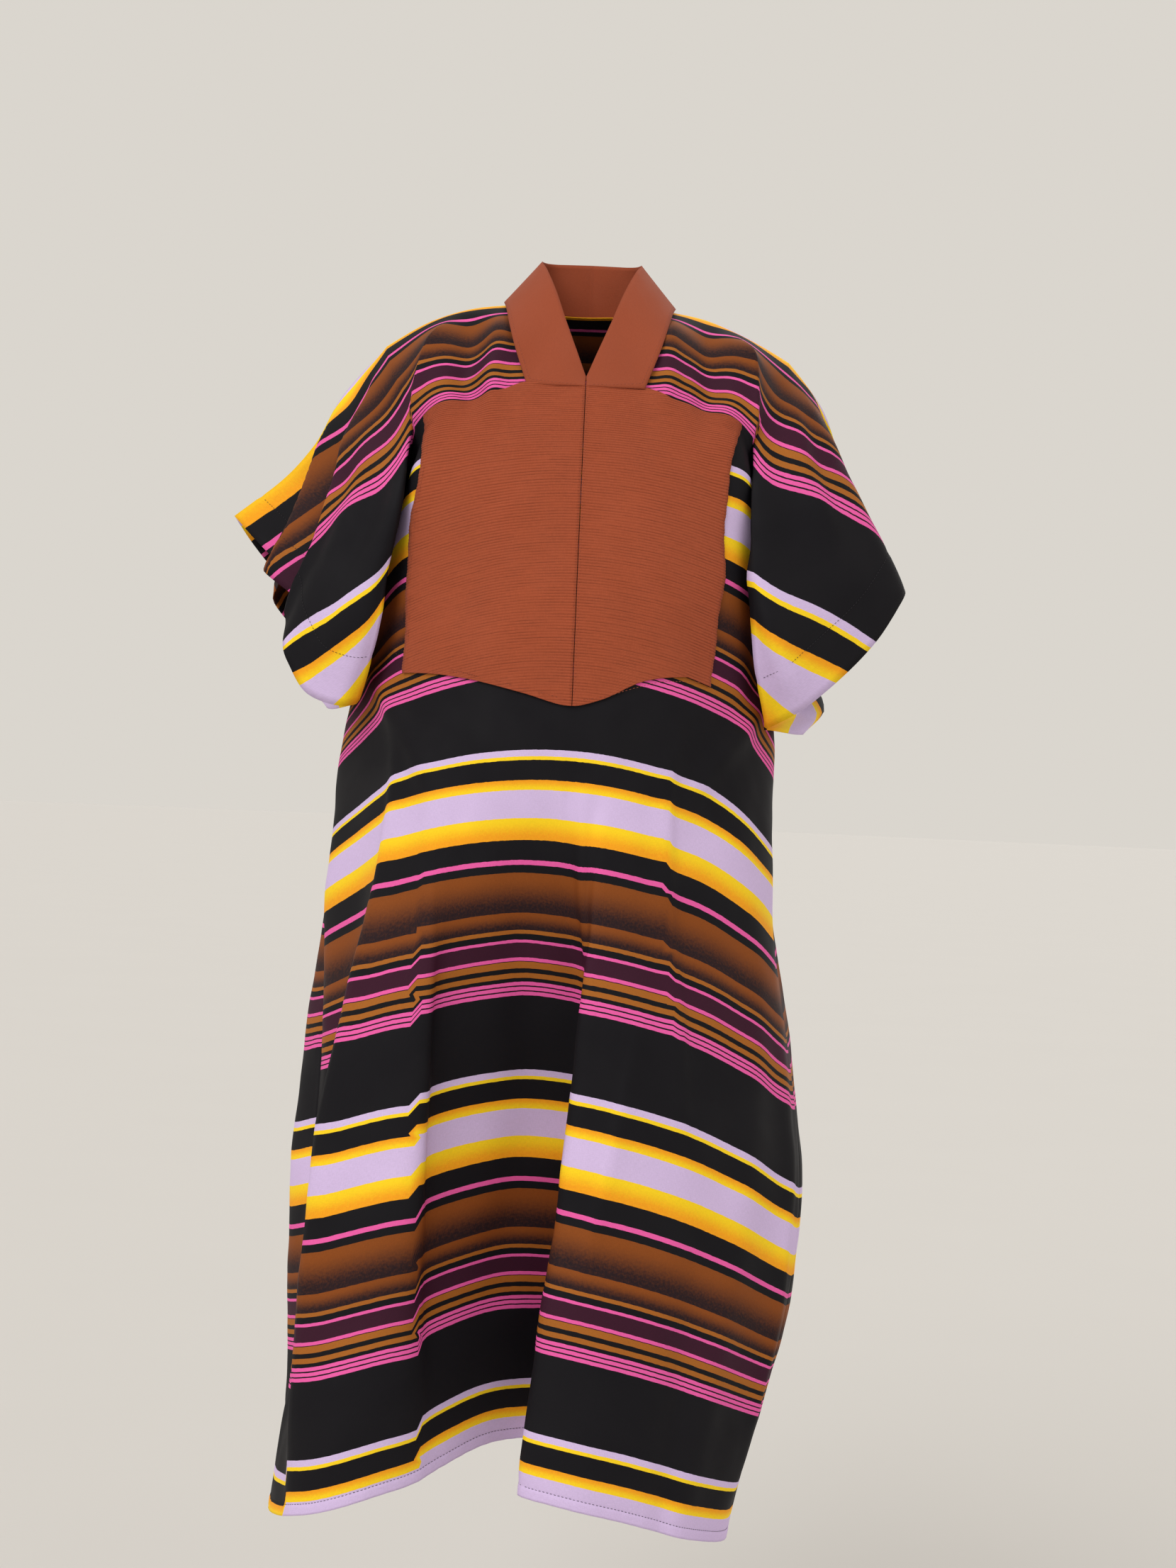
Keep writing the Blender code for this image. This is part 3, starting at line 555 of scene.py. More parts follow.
class RobeCloth(bpy.types.PropertyGroup):
    shell: bpy.props.FloatProperty(
        name="Cotton thickness", description="Thickness of the striped cotton",
        default=0.0008, min=0.0003, max=0.002, unit="LENGTH")
    hem_turn: bpy.props.FloatProperty(
        name="Bottom hem", description="Depth of the turned bottom hem",
        default=0.010, min=0.005, max=0.03, unit="LENGTH")
    sleeve_turn: bpy.props.FloatProperty(
        name="Sleeve hem", description="Depth of the turned sleeve hem",
        default=0.033, min=0.01, max=0.05, unit="LENGTH")
    rib_pitch: bpy.props.FloatProperty(
        name="Rib pitch", description="Distance from rib to rib of the bib's cloth",
        default=0.0028, min=0.001, max=0.006, unit="LENGTH")
    rib_height: bpy.props.FloatProperty(
        name="Rib height", description="How far the bib's ribs stand up",
        default=0.00025, min=0.0, max=0.001, unit="LENGTH")
    rust: bpy.props.FloatVectorProperty(
        name="Rust", description="Colour of the neck band and the bib",
        default=(0.360, 0.076, 0.031), min=0.0, max=1.0, subtype="COLOR")
    stitch: bpy.props.FloatProperty(
        name="Stitch", description="Length of one stitch",
        default=0.0026, min=0.001, max=0.006, unit="LENGTH")
    stitch_gap: bpy.props.FloatProperty(
        name="Stitch gap", description="Gap between two stitches",
        default=0.0009, min=0.0, max=0.004, unit="LENGTH")
    thread: bpy.props.FloatProperty(
        name="Thread", description="Thickness of the sewing thread",
        default=0.0005, min=0.0002, max=0.001, unit="LENGTH")


class RobeStage(bpy.types.PropertyGroup):
    floor_drop: bpy.props.FloatProperty(
        name="Floor", description="Height of the neck's base above the floor",
        default=1.46, min=1.3, max=2.0, unit="LENGTH")
    floor_colour: bpy.props.FloatVectorProperty(
        name="Floor colour", description="Colour of the plain floor",
        default=(0.625, 0.607, 0.583), min=0.0, max=1.0, subtype="COLOR")


# Cloth with creases

def crease_move(flat, normals, points, creases, face):
    """How far each point of the cloth moves for its creases."""
    move = np.zeros_like(points)
    turn = 1.0 if face == "front" else -1.0
    for _, u0, v0, u1, v1, bow, width, height, lean, profile in creases:
        start, run = np.array((u0, v0)), np.array((u1 - u0, v1 - v0))
        length = np.hypot(*run)
        from_start = flat - start
        along = np.clip(from_start @ run / length**2, 0, 1)
        across = (from_start[:, 0] * run[1] - from_start[:, 1] * run[0]) / length
        across = across - 4 * bow * along * (1 - along)
        if profile == "sharp":
            crest = np.exp(-np.abs(across) / width)
        elif profile == "step":
            edge_width, slope_width = STEP_EDGE * width, STEP_SLOPE * width
            crest = np.tanh(across / edge_width) * np.exp(-(across / slope_width) ** 2)
        else:
            crest = np.exp(-(across / width) ** 2)
        crest *= fade(along, 0.0, CREASE_END) * fade(1 - along, 0.0, CREASE_END)
        near = np.argmin(((flat - start) ** 2).sum(1))
        far = np.argmin(((flat - start - run) ** 2).sum(1))
        way = points[far] - points[near]
        way = way / max(np.linalg.norm(way), 1e-6)
        beside = turn * np.cross(normals, way)
        move += (height * crest)[:, None] * normals + (lean * crest)[:, None] * beside
    return move


def uneven(flat):
    """Gentle unevenness of the cloth, out from it."""
    height = np.zeros(len(flat))
    for wave, turn, phase, size in UNEVENNESS:
        way = flat[:, 0] * math.cos(math.tau * turn) + flat[:, 1] * math.sin(math.tau * turn)
        height += size * np.sin(math.tau * way / wave + phase)
    return height


def seam_fade(flat):
    """0 on the side and shoulder seams, so that both panels stay together there."""
    u, v = np.abs(flat[:, 0]), flat[:, 1]
    side = np.where(v > UNDERARM_DROP - UNDERARM_FADE, fade(half_width(v) - u, 0.0, SIDE_FADE), 1.0)
    return side * fade(v, 0.0, SHOULDER_FADE)


def sleeve_depth_at(u):
    """Drop of the sleeve's underside at each distance across."""
    return np.interp(u, (YOKE_HALF_WIDTH, SLEEVE_HALF_SPAN), (DART_DROP, SLEEVE_DEPTH))


def stepped_drop(u, v):
    """Drop of the print on the front skirt, where laps shift it."""
    shown = v.copy()
    for _, top_line, hem_line, top, bottom, size in PRINT_STEPS:
        line = top_line + (hem_line - top_line) * np.clip((v - top) / (ROBE_LENGTH - top), 0, 1)
        outside = (np.abs(u) > np.abs(line)) & (u * top_line > 0)
        shown -= size * fade(v, top, top + 0.2) * fade(-v, -bottom, 0.2 - bottom) * outside
    return shown


def printed_drop(name, out, down):
    """Drop of the print on a front sleeve, where laps hide part of the cloth."""
    depth = sleeve_depth_at(YOKE_HALF_WIDTH + (SLEEVE_HALF_SPAN - YOKE_HALF_WIDTH) * out)
    hidden, total = np.zeros_like(down), np.zeros_like(down)
    for _, places, amounts in TUCKS[name]:
        at, amount = np.interp(out, (0, 0.5, 1), places), np.interp(out, (0, 0.5, 1), amounts)
        reach = LAP_WIDTH / 2 / depth
        hidden += amount * fade(down, at - reach, at + reach)
        total += amount
    shift = SLEEVE_PRINT_SHIFT * fade(out, 0.0, 0.6) * (1 - down)
    return hidden + (depth - total) * down + shift


def add_patch(mesh, flat, columns, rows, place):
    """Adds a grid and carries each of its points to its place. Place takes the column and row
    numbers and gives the points, their u and v, and the v of the print where a tuck moves it."""
    made = bmesh.ops.create_grid(mesh, x_segments=columns, y_segments=rows, size=0.5)["verts"]
    spots = np.array([vert.co[:2] for vert in made]) + 0.5
    points, u, v, *printed = place(np.round(spots[:, 0] * columns).astype(int),
                                   np.round((1 - spots[:, 1]) * rows).astype(int))
    for vert, point, across, down, shown in zip(made, points, u, v, printed[0] if printed else v):
        vert.co = point
        vert[flat] = (across, down, shown)


def read_mesh(data):
    """Points, normals and flat places of a cloth mesh."""
    points = np.empty(len(data.vertices) * 3, np.float32)
    normals = np.empty_like(points)
    flat = np.empty_like(points)
    data.vertices.foreach_get("co", points)
    data.vertices.foreach_get("normal", normals)
    data.attributes["flat"].data.foreach_get("vector", flat)
    return (points.reshape(-1, 3).astype(float), normals.reshape(-1, 3).astype(float),
            flat.reshape(-1, 3)[:, :2].astype(float))


def finish_cloth(name, mesh, wall, material, outward, replaced):
    """Joins the patches, turns them outwards and makes the piece with its UV map and wall."""
    bmesh.ops.remove_doubles(mesh, verts=mesh.verts, dist=0.00005)
    bmesh.ops.dissolve_degenerate(mesh, edges=mesh.edges, dist=0.00002)
    bmesh.ops.recalc_face_normals(mesh, faces=mesh.faces)
    if sum(outward(face.calc_center_median()).dot(face.normal) for face in mesh.faces) < 0:
        bmesh.ops.reverse_faces(mesh, faces=mesh.faces)
    data = bpy.data.meshes.new(name)
    mesh.to_mesh(data)
    mesh.free()
    data.shade_smooth()
    data.materials.append(material)
    flat = np.empty(len(data.vertices) * 3, np.float32)
    data.attributes["flat"].data.foreach_get("vector", flat)
    corner = np.empty(len(data.loops), np.int32)
    data.loops.foreach_get("vertex_index", corner)
    uv = data.uv_layers.new(name="cut")
    uv.data.foreach_set("uv", flat.reshape(-1, 3)[corner][:, (0, 2)].ravel())
    piece = bpy.data.objects.new(name, data)
    bpy.context.scene.collection.objects.link(piece)
    shell = piece.modifiers.new("wall", "SOLIDIFY")
    shell.thickness = wall
    shell.offset = 0.0
    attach(piece, "root")
    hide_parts(replaced)
    return piece


def move_points(piece, move):
    """Moves each point of a piece's mesh."""
    points = np.empty(len(piece.data.vertices) * 3, np.float32)
    piece.data.vertices.foreach_get("co", points)
    piece.data.vertices.foreach_set("co", (points + move.ravel()).astype(np.float32))
    piece.data.update()


def spread(stops, counts):
    """Places from stop to stop, with so many steps in each stretch."""
    parts = [np.linspace(a, b, n, endpoint=False) for a, b, n in zip(stops, stops[1:], counts)]
    return np.append(np.concatenate(parts), stops[-1])


def make_panel(face, cloth):
    """One panel of striped cotton, with its creases and hems."""
    front = face == "front"
    neck_drop = FRONT_NECK_DROP if front else BACK_NECK_DROP
    hem_line = ROBE_LENGTH - cloth.hem_turn
    if front:
        collar_drops = spread((SEAM_INSET, DART_DROP), (70,))
    else:
        collar_drops = spread((SEAM_INSET, neck_drop, DART_DROP), (10, 50))
    arm_drops = spread((DART_DROP, FRONT_NECK_DROP, UNDERARM_DROP), (4, 44))
    skirt_drops = spread((UNDERARM_DROP, hem_line - 0.001, hem_line + 0.001, ROBE_LENGTH),
                         (158, 3, 4))
    drops = np.concatenate((collar_drops, arm_drops[1:], skirt_drops[1:]))
    widths = half_width(drops)
    neck = np.interp(drops, (0, neck_drop), (NECK_HALF_SHOULDER,
                                             NECK_HALF_FRONT if front else NECK_HALF_BACK)) / widths
    reach = np.where(drops < UNDERARM_DROP - 1e-6, 1.0, 1 - SEAM_INSET / widths)
    steps = np.linspace(0, 1, STEPS_ACROSS + 1)
    mesh = bmesh.new()
    flat = mesh.verts.layers.float_vector.new("flat")

    for side in (-1, 1):
        def beside_neck(i, j):
            t = side * (neck[j] + (reach[j] - neck[j]) * steps[i])
            u, v = t * widths[j], drops[j]
            shown = stepped_drop(u, v) if front else v
            return part_seams(face, body(face, t, v)), u, v, shown
        add_patch(mesh, flat, STEPS_ACROSS, len(drops) - 1, beside_neck)

    below = np.flatnonzero(drops >= neck_drop - 1e-9)

    def below_neck(i, j):
        t = neck[below][j] * np.linspace(-1, 1, STEPS_UNDER_NECK + 1)[i]
        return (part_seams(face, body(face, t, drops[below][j])), t * widths[below][j],
                drops[below][j])
    add_patch(mesh, flat, STEPS_UNDER_NECK, len(below) - 1, below_neck)

    out = (arm_drops - DART_DROP) / (UNDERARM_DROP - DART_DROP)
    down = collar_drops / DART_DROP
    for name, row in SLEEVES.items():
        side = row["side"]

        def over_arm(i, j):
            u = side * (YOKE_HALF_WIDTH + (SLEEVE_HALF_SPAN - YOKE_HALF_WIDTH) * out[i])
            v = down[j] * sleeve_depth_at(np.abs(u))
            shown = printed_drop(name, out[i], down[j]) if front else v
            return part_seams(face, sleeve(face, row, out[i], down[j])), u, v, shown
        add_patch(mesh, flat, len(out) - 1, len(down) - 1, over_arm)

        def under_arm(i, j):
            inward = j / STEPS_UNDER_ARM
            v_body = DART_DROP + (UNDERARM_DROP - DART_DROP) * out[i]
            u_fold = YOKE_HALF_WIDTH + (SLEEVE_HALF_SPAN - YOKE_HALF_WIDTH) * out[i]
            u = side * (u_fold + (half_width(v_body) - u_fold) * inward)
            v = sleeve_depth_at(u_fold) + (v_body - sleeve_depth_at(u_fold)) * inward
            return part_seams(face, armpit(face, row, out[i], inward)), u, v
        add_patch(mesh, flat, len(out) - 1, STEPS_UNDER_ARM, under_arm)

    facing = Vector((0, -1 if front else 1, 0))
    piece = finish_cloth("robe_" + face, mesh, cloth.shell, striped_cotton(), lambda at: facing,
                         face + "_panel")
    points, normals, at = read_mesh(piece.data)
    creases = FRONT_CREASES if front else BACK_CREASES
    move = crease_move(at, normals, points, creases, face) + uneven(at)[:, None] * normals
    move *= seam_fade(at)[:, None]
    hem = hem_relief(at, cloth)
    move_points(piece, move + hem[:, None] * normals)
    return piece


def hem_relief(flat, cloth):
    """The turned hems stand a little proud, and their stitches pull a small groove."""
    down = ROBE_LENGTH - cloth.hem_turn - flat[:, 1]
    out = SLEEVE_HALF_SPAN - cloth.sleeve_turn - np.abs(flat[:, 0])
    on_sleeve = fade(np.abs(flat[:, 0]), *SLEEVE_HEM_FROM)
    groove = HEM_GROOVE * (np.exp(-(down / 0.0015) ** 2)
                           + on_sleeve * np.exp(-(out / 0.002) ** 2))
    proud = HEM_RISE * (fade(-down, 0.0, 0.0015) + on_sleeve * fade(-out, 0.0, 0.003))
    wave = np.sin(math.tau * flat[:, 0] / PUCKER_WAVE)
    pucker = PUCKER_HEIGHT * wave * fade(-down, -0.01, 0.003)
    return proud - groove + pucker


def place_on_front(x, drop):
    """The t at which the front body's point at each drop lies at x."""
    steps = np.linspace(-1, 1, 161)
    levels = np.linspace(0, 0.55, 111)
    table = np.empty((len(levels), len(x)))
    for row, level in enumerate(levels):
        across = body("front", steps, np.full_like(steps, level))[:, 0]
        table[row] = np.interp(x, np.maximum.accumulate(across), steps)
    where = np.clip(drop / levels[1], 0, len(levels) - 1.001)
    low = where.astype(int)
    share = where - low
    pick = np.arange(len(x))
    return table[low, pick] * (1 - share) + table[low + 1, pick] * share


def body_normal(face, t, drop):
    """Unit normals of the body, pointing away from the wearer."""
    small = 0.002
    across = body(face, t + small, drop) - body(face, t - small, drop)
    down = body(face, t, drop + small) - body(face, t, drop - small)
    out = np.cross(across, -down) if face == "front" else np.cross(-down, across)
    return out / np.linalg.norm(out, axis=1)[:, None]


def on_front(x, drop, distance):
    """Points lifted off the creased front by a distance."""
    x, drop = np.asarray(x, float), np.asarray(drop, float)
    t = place_on_front(x, drop)
    points, normals = part_seams("front", body("front", t, drop)), body_normal("front", t, drop)
    flat = np.column_stack((t * half_width(drop), drop))
    move = crease_move(flat, normals, points, FRONT_CREASES, "front")
    move += (uneven(flat) * seam_fade(flat))[:, None] * normals
    return points + move + np.reshape(distance, (-1, 1)) * normals


def bib_cut(side, f, g):
    """A place on the cut of one bib half: f from the centre seam outwards, g from the top down."""
    lower, sides = np.array(BIB_LOWER_EDGE), np.array(BIB_SIDES)
    reach = BIB_HALF_WIDTH * side * f
    near, far = BIB_TUCK_ENDS
    top = BIB_TOP_DROP - BIB_TUCK * fade(-np.abs(reach), -far, -near)
    drop = top + g * (spline(lower[:, 0], lower[:, 1:], reach)[:, 0] - top)
    edge_x = np.interp(drop, sides[:, 0], sides[:, 1 if side < 0 else 2])
    for size, rate, phase in BIB_EDGE_WAVES:
        edge_x = edge_x + size * np.sin(drop * rate + phase * side)
    return side * (CENTRE_GAP / 2 + f * (edge_x - CENTRE_GAP / 2)), drop


def make_bib(name, side, cloth):
    """One half of the bib, in cloth with raised cross ribs."""
    columns, rows = BIB_STEPS
    mesh = bmesh.new()
    flat = mesh.verts.layers.float_vector.new("flat")

    def lay(i, j):
        x, drop = bib_cut(side, i / columns, j / rows)
        drift = sum(size * np.sin(x * across + drop * down) for size, across, down in RIB_WAVES)
        rib = cloth.rib_height * np.sin(math.tau * drop / cloth.rib_pitch + drift)
        seam = CENTRE_SEAM_RISE * np.exp(-(x / CENTRE_SEAM_REACH) ** 2)
        points = on_front(x, drop, BIB_LIFT + rib + seam)
        return points, x, drop
    add_patch(mesh, flat, columns, rows, lay)
    return finish_cloth(name, mesh, cloth.shell * BIB_WALLS, ribbed_cloth(cloth),
                        lambda at: Vector((0, -1, 0)), name.replace("robe_", ""))


def broken_spline(place, rows, at):
    """A curve with a sharp corner at the band's lower corner, and smooth on both sides of it."""
    corner = [row[0] for row in BAND].index("corner")
    rows = np.asarray(rows)
    first = spline(place[:corner + 1], rows[:corner + 1], at)
    second = spline(place[corner:], rows[corner:], at)
    return np.where((at <= corner)[:, None], first, second)


def make_band(cloth):
    """The neck band: a folded strip standing round the neck."""
    place = np.arange(len(BAND), dtype=float)
    stations, rows = BAND_STEPS
    at = np.linspace(0, len(BAND) - 1, stations + 1)
    outer = []
    for _, face, x, drop, *_ in BAND:
        if face == "front":
            outer.append(on_front([x], [drop], BAND_LIFT)[0])
        else:
            t = np.array([x / half_width(drop)])
            outer.append((part_seams("back", body("back", t, np.array([drop])))
                          + BAND_LIFT * body_normal("back", t, np.array([drop])))[0])
    inner = [row[4:] for row in BAND]
    outer, inner = broken_spline(place, outer, at), broken_spline(place, inner, at)
    length = np.append(0, np.cumsum(np.linalg.norm(np.diff((outer + inner) / 2, axis=0), axis=1)))
    mesh = bmesh.new()
    flat = mesh.verts.layers.float_vector.new("flat")
    for side in (1, -1):
        def stand(i, j):
            s = (j / rows)[:, None]
            points = outer[i] + (inner[i] - outer[i]) * s
            points = points * np.array((side, 1.0, 1.0))
            return points, side * length[i], s[:, 0] * BAND_WIDTH
        add_patch(mesh, flat, stations, rows, stand)
    return finish_cloth("robe_neck_band", mesh, cloth.shell * BAND_WALLS, band_cotton(cloth),
                        lambda at: Vector((at.x, at.y, 0)), "neck_band")


# Materials

class NodeTools:
    """Adds nodes to one tree; a value that is a socket is linked and any other is set."""

    def __init__(self, tree):
        self.tree = tree

    def add(self, kind, inputs=(), **settings):
        node = self.tree.nodes.new(kind)
        for key, value in settings.items():
            setattr(node, key, value)
        for key, value in dict(inputs).items():
            if isinstance(value, bpy.types.NodeSocket):
                self.tree.links.new(value, node.inputs[key])
            else:
                node.inputs[key].default_value = value
        return node

    def math(self, operation, a, b=0.0, c=0.0, clamp=False):
        return self.add("ShaderNodeMath", {0: a, 1: b, 2: c}, operation=operation,
                        use_clamp=clamp).outputs[0]

    def ease(self, value, low, high, to_low=0.0, to_high=1.0):
        node = self.add("ShaderNodeMapRange", {"Value": value, "From Min": low, "From Max": high,
                                               "To Min": to_low, "To Max": to_high},
                        interpolation_type="SMOOTHSTEP")
        return node.outputs["Result"]

    def mix(self, factor, a, b):
        node = self.add("ShaderNodeMix", {0: factor, 6: a, 7: b}, data_type="RGBA")
        return node.outputs[2]

    def noise(self, vector, scale, detail=2.0, stretch=(1.0, 1.0, 1.0)):
        placed = self.add("ShaderNodeMapping", {"Vector": vector, "Scale": stretch})
        node = self.add("ShaderNodeTexNoise", {"Vector": placed.outputs[0], "Scale": scale,
                                               "Detail": detail})
        return node.outputs["Fac"]


def new_group(name, inputs, outputs):
    """A shader node group with its sockets, and its tools."""
    group = bpy.data.node_groups.new(name, "ShaderNodeTree")
    for socket, kind in inputs:
        group.interface.new_socket(socket, in_out="INPUT", socket_type=kind)
    for socket, kind in outputs:
        group.interface.new_socket(socket, in_out="OUTPUT", socket_type=kind)
    tools = NodeTools(group)
    return group, tools, tools.add("NodeGroupInput").outputs, tools.add("NodeGroupOutput").inputs


def plain_weave():
    """Slubs of warp and weft threads: a height, and a shade that varies about 0.5."""
    name = "plain weave"
    if name in bpy.data.node_groups:
        return bpy.data.node_groups[name]
    group, make, given, out = new_group(
        name, (("Cut", "NodeSocketVector"), ("Threads", "NodeSocketFloat")),
        (("Height", "NodeSocketFloat"), ("Shade", "NodeSocketFloat")))
    warp = make.noise(given["Cut"], given["Threads"], 2.0, (1.0, 0.16, 1.0))
    weft = make.noise(given["Cut"], given["Threads"], 2.0, (0.16, 1.0, 1.0))
    height = make.math("ADD", warp, weft)
    patches = make.noise(given["Cut"], 9.0, 3.0)
    shade = make.math("ADD", make.math("MULTIPLY", height, 0.35),
                      make.math("MULTIPLY", patches, 0.30))
    group.links.new(height, out["Height"])
    group.links.new(shade, out["Shade"])
    return group


def stripe_print():
    """The striped print, read by the drop from the shoulder seam."""
    name = "stripe print"
    if name in bpy.data.node_groups:
        return bpy.data.node_groups[name]
    group, make, given, out = new_group(name, (("Cut", "NodeSocketVector"),),
                                        (("Color", "NodeSocketColor"),))
    repeat = sum(row[1] for row in PRINT)
    parts = make.add("ShaderNodeSeparateXYZ", {0: given["Cut"]}).outputs
    wander = make.math("MULTIPLY", make.math("SUBTRACT", make.noise(given["Cut"], 160.0), 0.5),
                       0.0009)
    drop = make.math("ADD", parts["Y"], wander)
    place = make.math("MULTIPLY", make.math("FRACT", make.math(
        "DIVIDE", make.math("ADD", drop, PRINT[0][1] / 2), repeat)), repeat)
    # Fine slanted dots, which blend one ink into the next
    slant = make.math("ADD", make.math("MULTIPLY", parts["X"], 700.0 * math.tau),
                      make.math("MULTIPLY", parts["Y"], 500.0 * math.tau))
    cross = make.math("SUBTRACT", make.math("MULTIPLY", parts["X"], 500.0 * math.tau),
                      make.math("MULTIPLY", parts["Y"], 700.0 * math.tau))
    dots = make.math("MULTIPLY", make.math("SINE", slant), make.math("SINE", cross))
    dots = make.math("ADD", make.math("MULTIPLY", dots, 0.16),
                     make.math("MULTIPLY", make.math("SUBTRACT", make.noise(
                         given["Cut"], 420.0, 1.0), 0.5), 0.55))
    colour, start = (*INK["black"], 1.0), 0.0
    for _, width, top, bottom in PRINT:
        ink = (*INK[top], 1.0)
        if top != bottom:
            fall = make.ease(place, start + 0.08 * width, start + 0.92 * width)
            fall = make.math("ADD", fall, make.math("MULTIPLY", dots, make.math(
                "MULTIPLY", fall, make.math("SUBTRACT", 1.9, fall))), clamp=True)
            ink = make.mix(fall, ink, (*INK[bottom], 1.0))
        if start > 0:
            here = make.ease(place, start - 0.00012, start + 0.00012)
            colour = make.mix(here, colour, ink)
        else:
            colour = ink
        start += width
    group.links.new(colour, out["Color"])
    return group


def start_material(name):
    """A material, with tools for its tree and its shader's inputs."""
    material = bpy.data.materials.new(name)
    material.use_nodes = True
    tree = material.node_tree
    return material, NodeTools(tree), tree.nodes["Principled BSDF"].inputs


def striped_cotton():
    """Printed cotton: matt, lightly calendered, with fine threads."""
    name = "printed stripes"
    if name in bpy.data.materials:
        return bpy.data.materials[name]
    material, make, shader = start_material(name)
    cut = make.add("ShaderNodeUVMap", uv_map="cut").outputs["UV"]
    printed = make.add("ShaderNodeGroup", node_tree=stripe_print())
    weave = make.add("ShaderNodeGroup", node_tree=plain_weave())
    weave.inputs["Threads"].default_value = 1900.0
    make.tree.links.new(cut, printed.inputs["Cut"])
    make.tree.links.new(cut, weave.inputs["Cut"])
    shade = make.ease(weave.outputs["Shade"], 0.2, 0.8, 0.86, 1.12)
    tint = make.add("ShaderNodeVectorMath", {0: printed.outputs["Color"]}, operation="SCALE")
    make.tree.links.new(shade, tint.inputs["Scale"])
    make.tree.links.new(tint.outputs[0], shader["Base Color"])
    rough = make.ease(make.noise(cut, 14.0, 3.0), 0.3, 0.7, 0.66, 0.78)
    make.tree.links.new(rough, shader["Roughness"])
    bump = make.add("ShaderNodeBump", {"Height": weave.outputs["Height"], "Strength": 0.35,
                                       "Distance": 0.00012})
    make.tree.links.new(bump.outputs[0], shader["Normal"])
    shader["Specular IOR Level"].default_value = 0.14
    return material


def rust_cloth(name, cloth, threads, shade_low, roughness, ribs):
    """Rust cloth, plain or with raised cross ribs and painted shade darkening the grooves between
    them.
    """
    if name in bpy.data.materials:
        return bpy.data.materials[name]
    material, make, shader = start_material(name)
    cut = make.add("ShaderNodeUVMap", uv_map="cut").outputs["UV"]
    weave = make.add("ShaderNodeGroup", node_tree=plain_weave())
    weave.inputs["Threads"].default_value = threads
    make.tree.links.new(cut, weave.inputs["Cut"])
    shade = make.ease(weave.outputs["Shade"], 0.2, 0.8, shade_low, 1.10)
    height = weave.outputs["Height"]
    if ribs:
        parts = make.add("ShaderNodeSeparateXYZ", {0: cut}).outputs
        drift = make.math("MULTIPLY", make.noise(cut, 26.0, 2.0, (0.35, 1.0, 1.0)), 1.1)
        wave = make.math("SINE", make.math("ADD", make.math(
            "MULTIPLY", parts["Y"], math.tau / cloth.rib_pitch), drift))
        # Painted shade: the cloth's colour is darkened in the grooves between the ribs, in patches
        # broken up by noise.
        broken = make.ease(make.noise(cut, 260.0, 2.0, (0.12, 1.0, 1.0)), 0.30, 0.70)
        groove = make.math("MULTIPLY", make.ease(wave, -0.98, -0.55, 1.0, 0.0), broken)
        shade = make.math("MULTIPLY", shade, make.math("SUBTRACT", 1.0, make.math(
            "MULTIPLY", groove, 0.42)))
        height = make.math("ADD", height, make.math("MULTIPLY", wave, 0.8))
    colour = tuple(part if ribs else BAND_SHADE * part for part in cloth.rust)
    tint = make.add("ShaderNodeVectorMath", {0: colour}, operation="SCALE")
    make.tree.links.new(shade, tint.inputs["Scale"])
    make.tree.links.new(tint.outputs[0], shader["Base Color"])
    bump = make.add("ShaderNodeBump", {"Height": height, "Strength": 0.5, "Distance": 0.00025})
    make.tree.links.new(bump.outputs[0], shader["Normal"])
    rough = make.ease(make.noise(cut, 30.0, 3.0), 0.3, 0.7, roughness - 0.05, roughness + 0.05)
    make.tree.links.new(rough, shader["Roughness"])
    shader["Specular IOR Level"].default_value = 0.15
    shader["Sheen Weight"].default_value = 0.03
    shader["Sheen Roughness"].default_value = 0.6
    return material


def ribbed_cloth(cloth):
    return rust_cloth("ribbed rust cloth", cloth, 1100.0, 0.80, 0.88, True)


def band_cotton(cloth):
    return rust_cloth("plain rust cotton", cloth, 1700.0, 0.88, 0.80, False)


def thread_material(name, colour):
    """Sewing thread, with a little change of shade along it."""
    if name in bpy.data.materials:
        return bpy.data.materials[name]
    material, make, shader = start_material(name)
    at = make.add("ShaderNodeTexCoord").outputs["Object"]
    shade = make.ease(make.noise(at, 900.0), 0.3, 0.7, 0.75, 1.2)
    tint = make.add("ShaderNodeVectorMath", {0: colour}, operation="SCALE")
    make.tree.links.new(shade, tint.inputs["Scale"])
    make.tree.links.new(tint.outputs[0], shader["Base Color"])
    shader["Roughness"].default_value = 0.7
    return material


# Stitches

def stitch_path(piece, flat_points, lift):
    """Points and normals on a cloth piece at places on its cut, lifted off its face."""
    points, normals, flat = read_mesh(piece.data)
    tree = kdtree.KDTree(len(flat))
    for index, (u, v) in enumerate(flat):
        tree.insert((u, v, 0.0), index)
    tree.balance()
    found, facing = [], []
    for u, v in flat_points:
        near = [hit[1] for hit in tree.find_n((u, v, 0.0), 8)]
        away = np.column_stack((np.ones(8), flat[near] - (u, v)))
        found.append(np.linalg.lstsq(away, points[near], rcond=None)[0][0])
        facing.append(normals[near].mean(0))
    facing = np.array(facing)
    facing /= np.linalg.norm(facing, axis=1)[:, None]
    return np.array(found) + lift * facing, facing


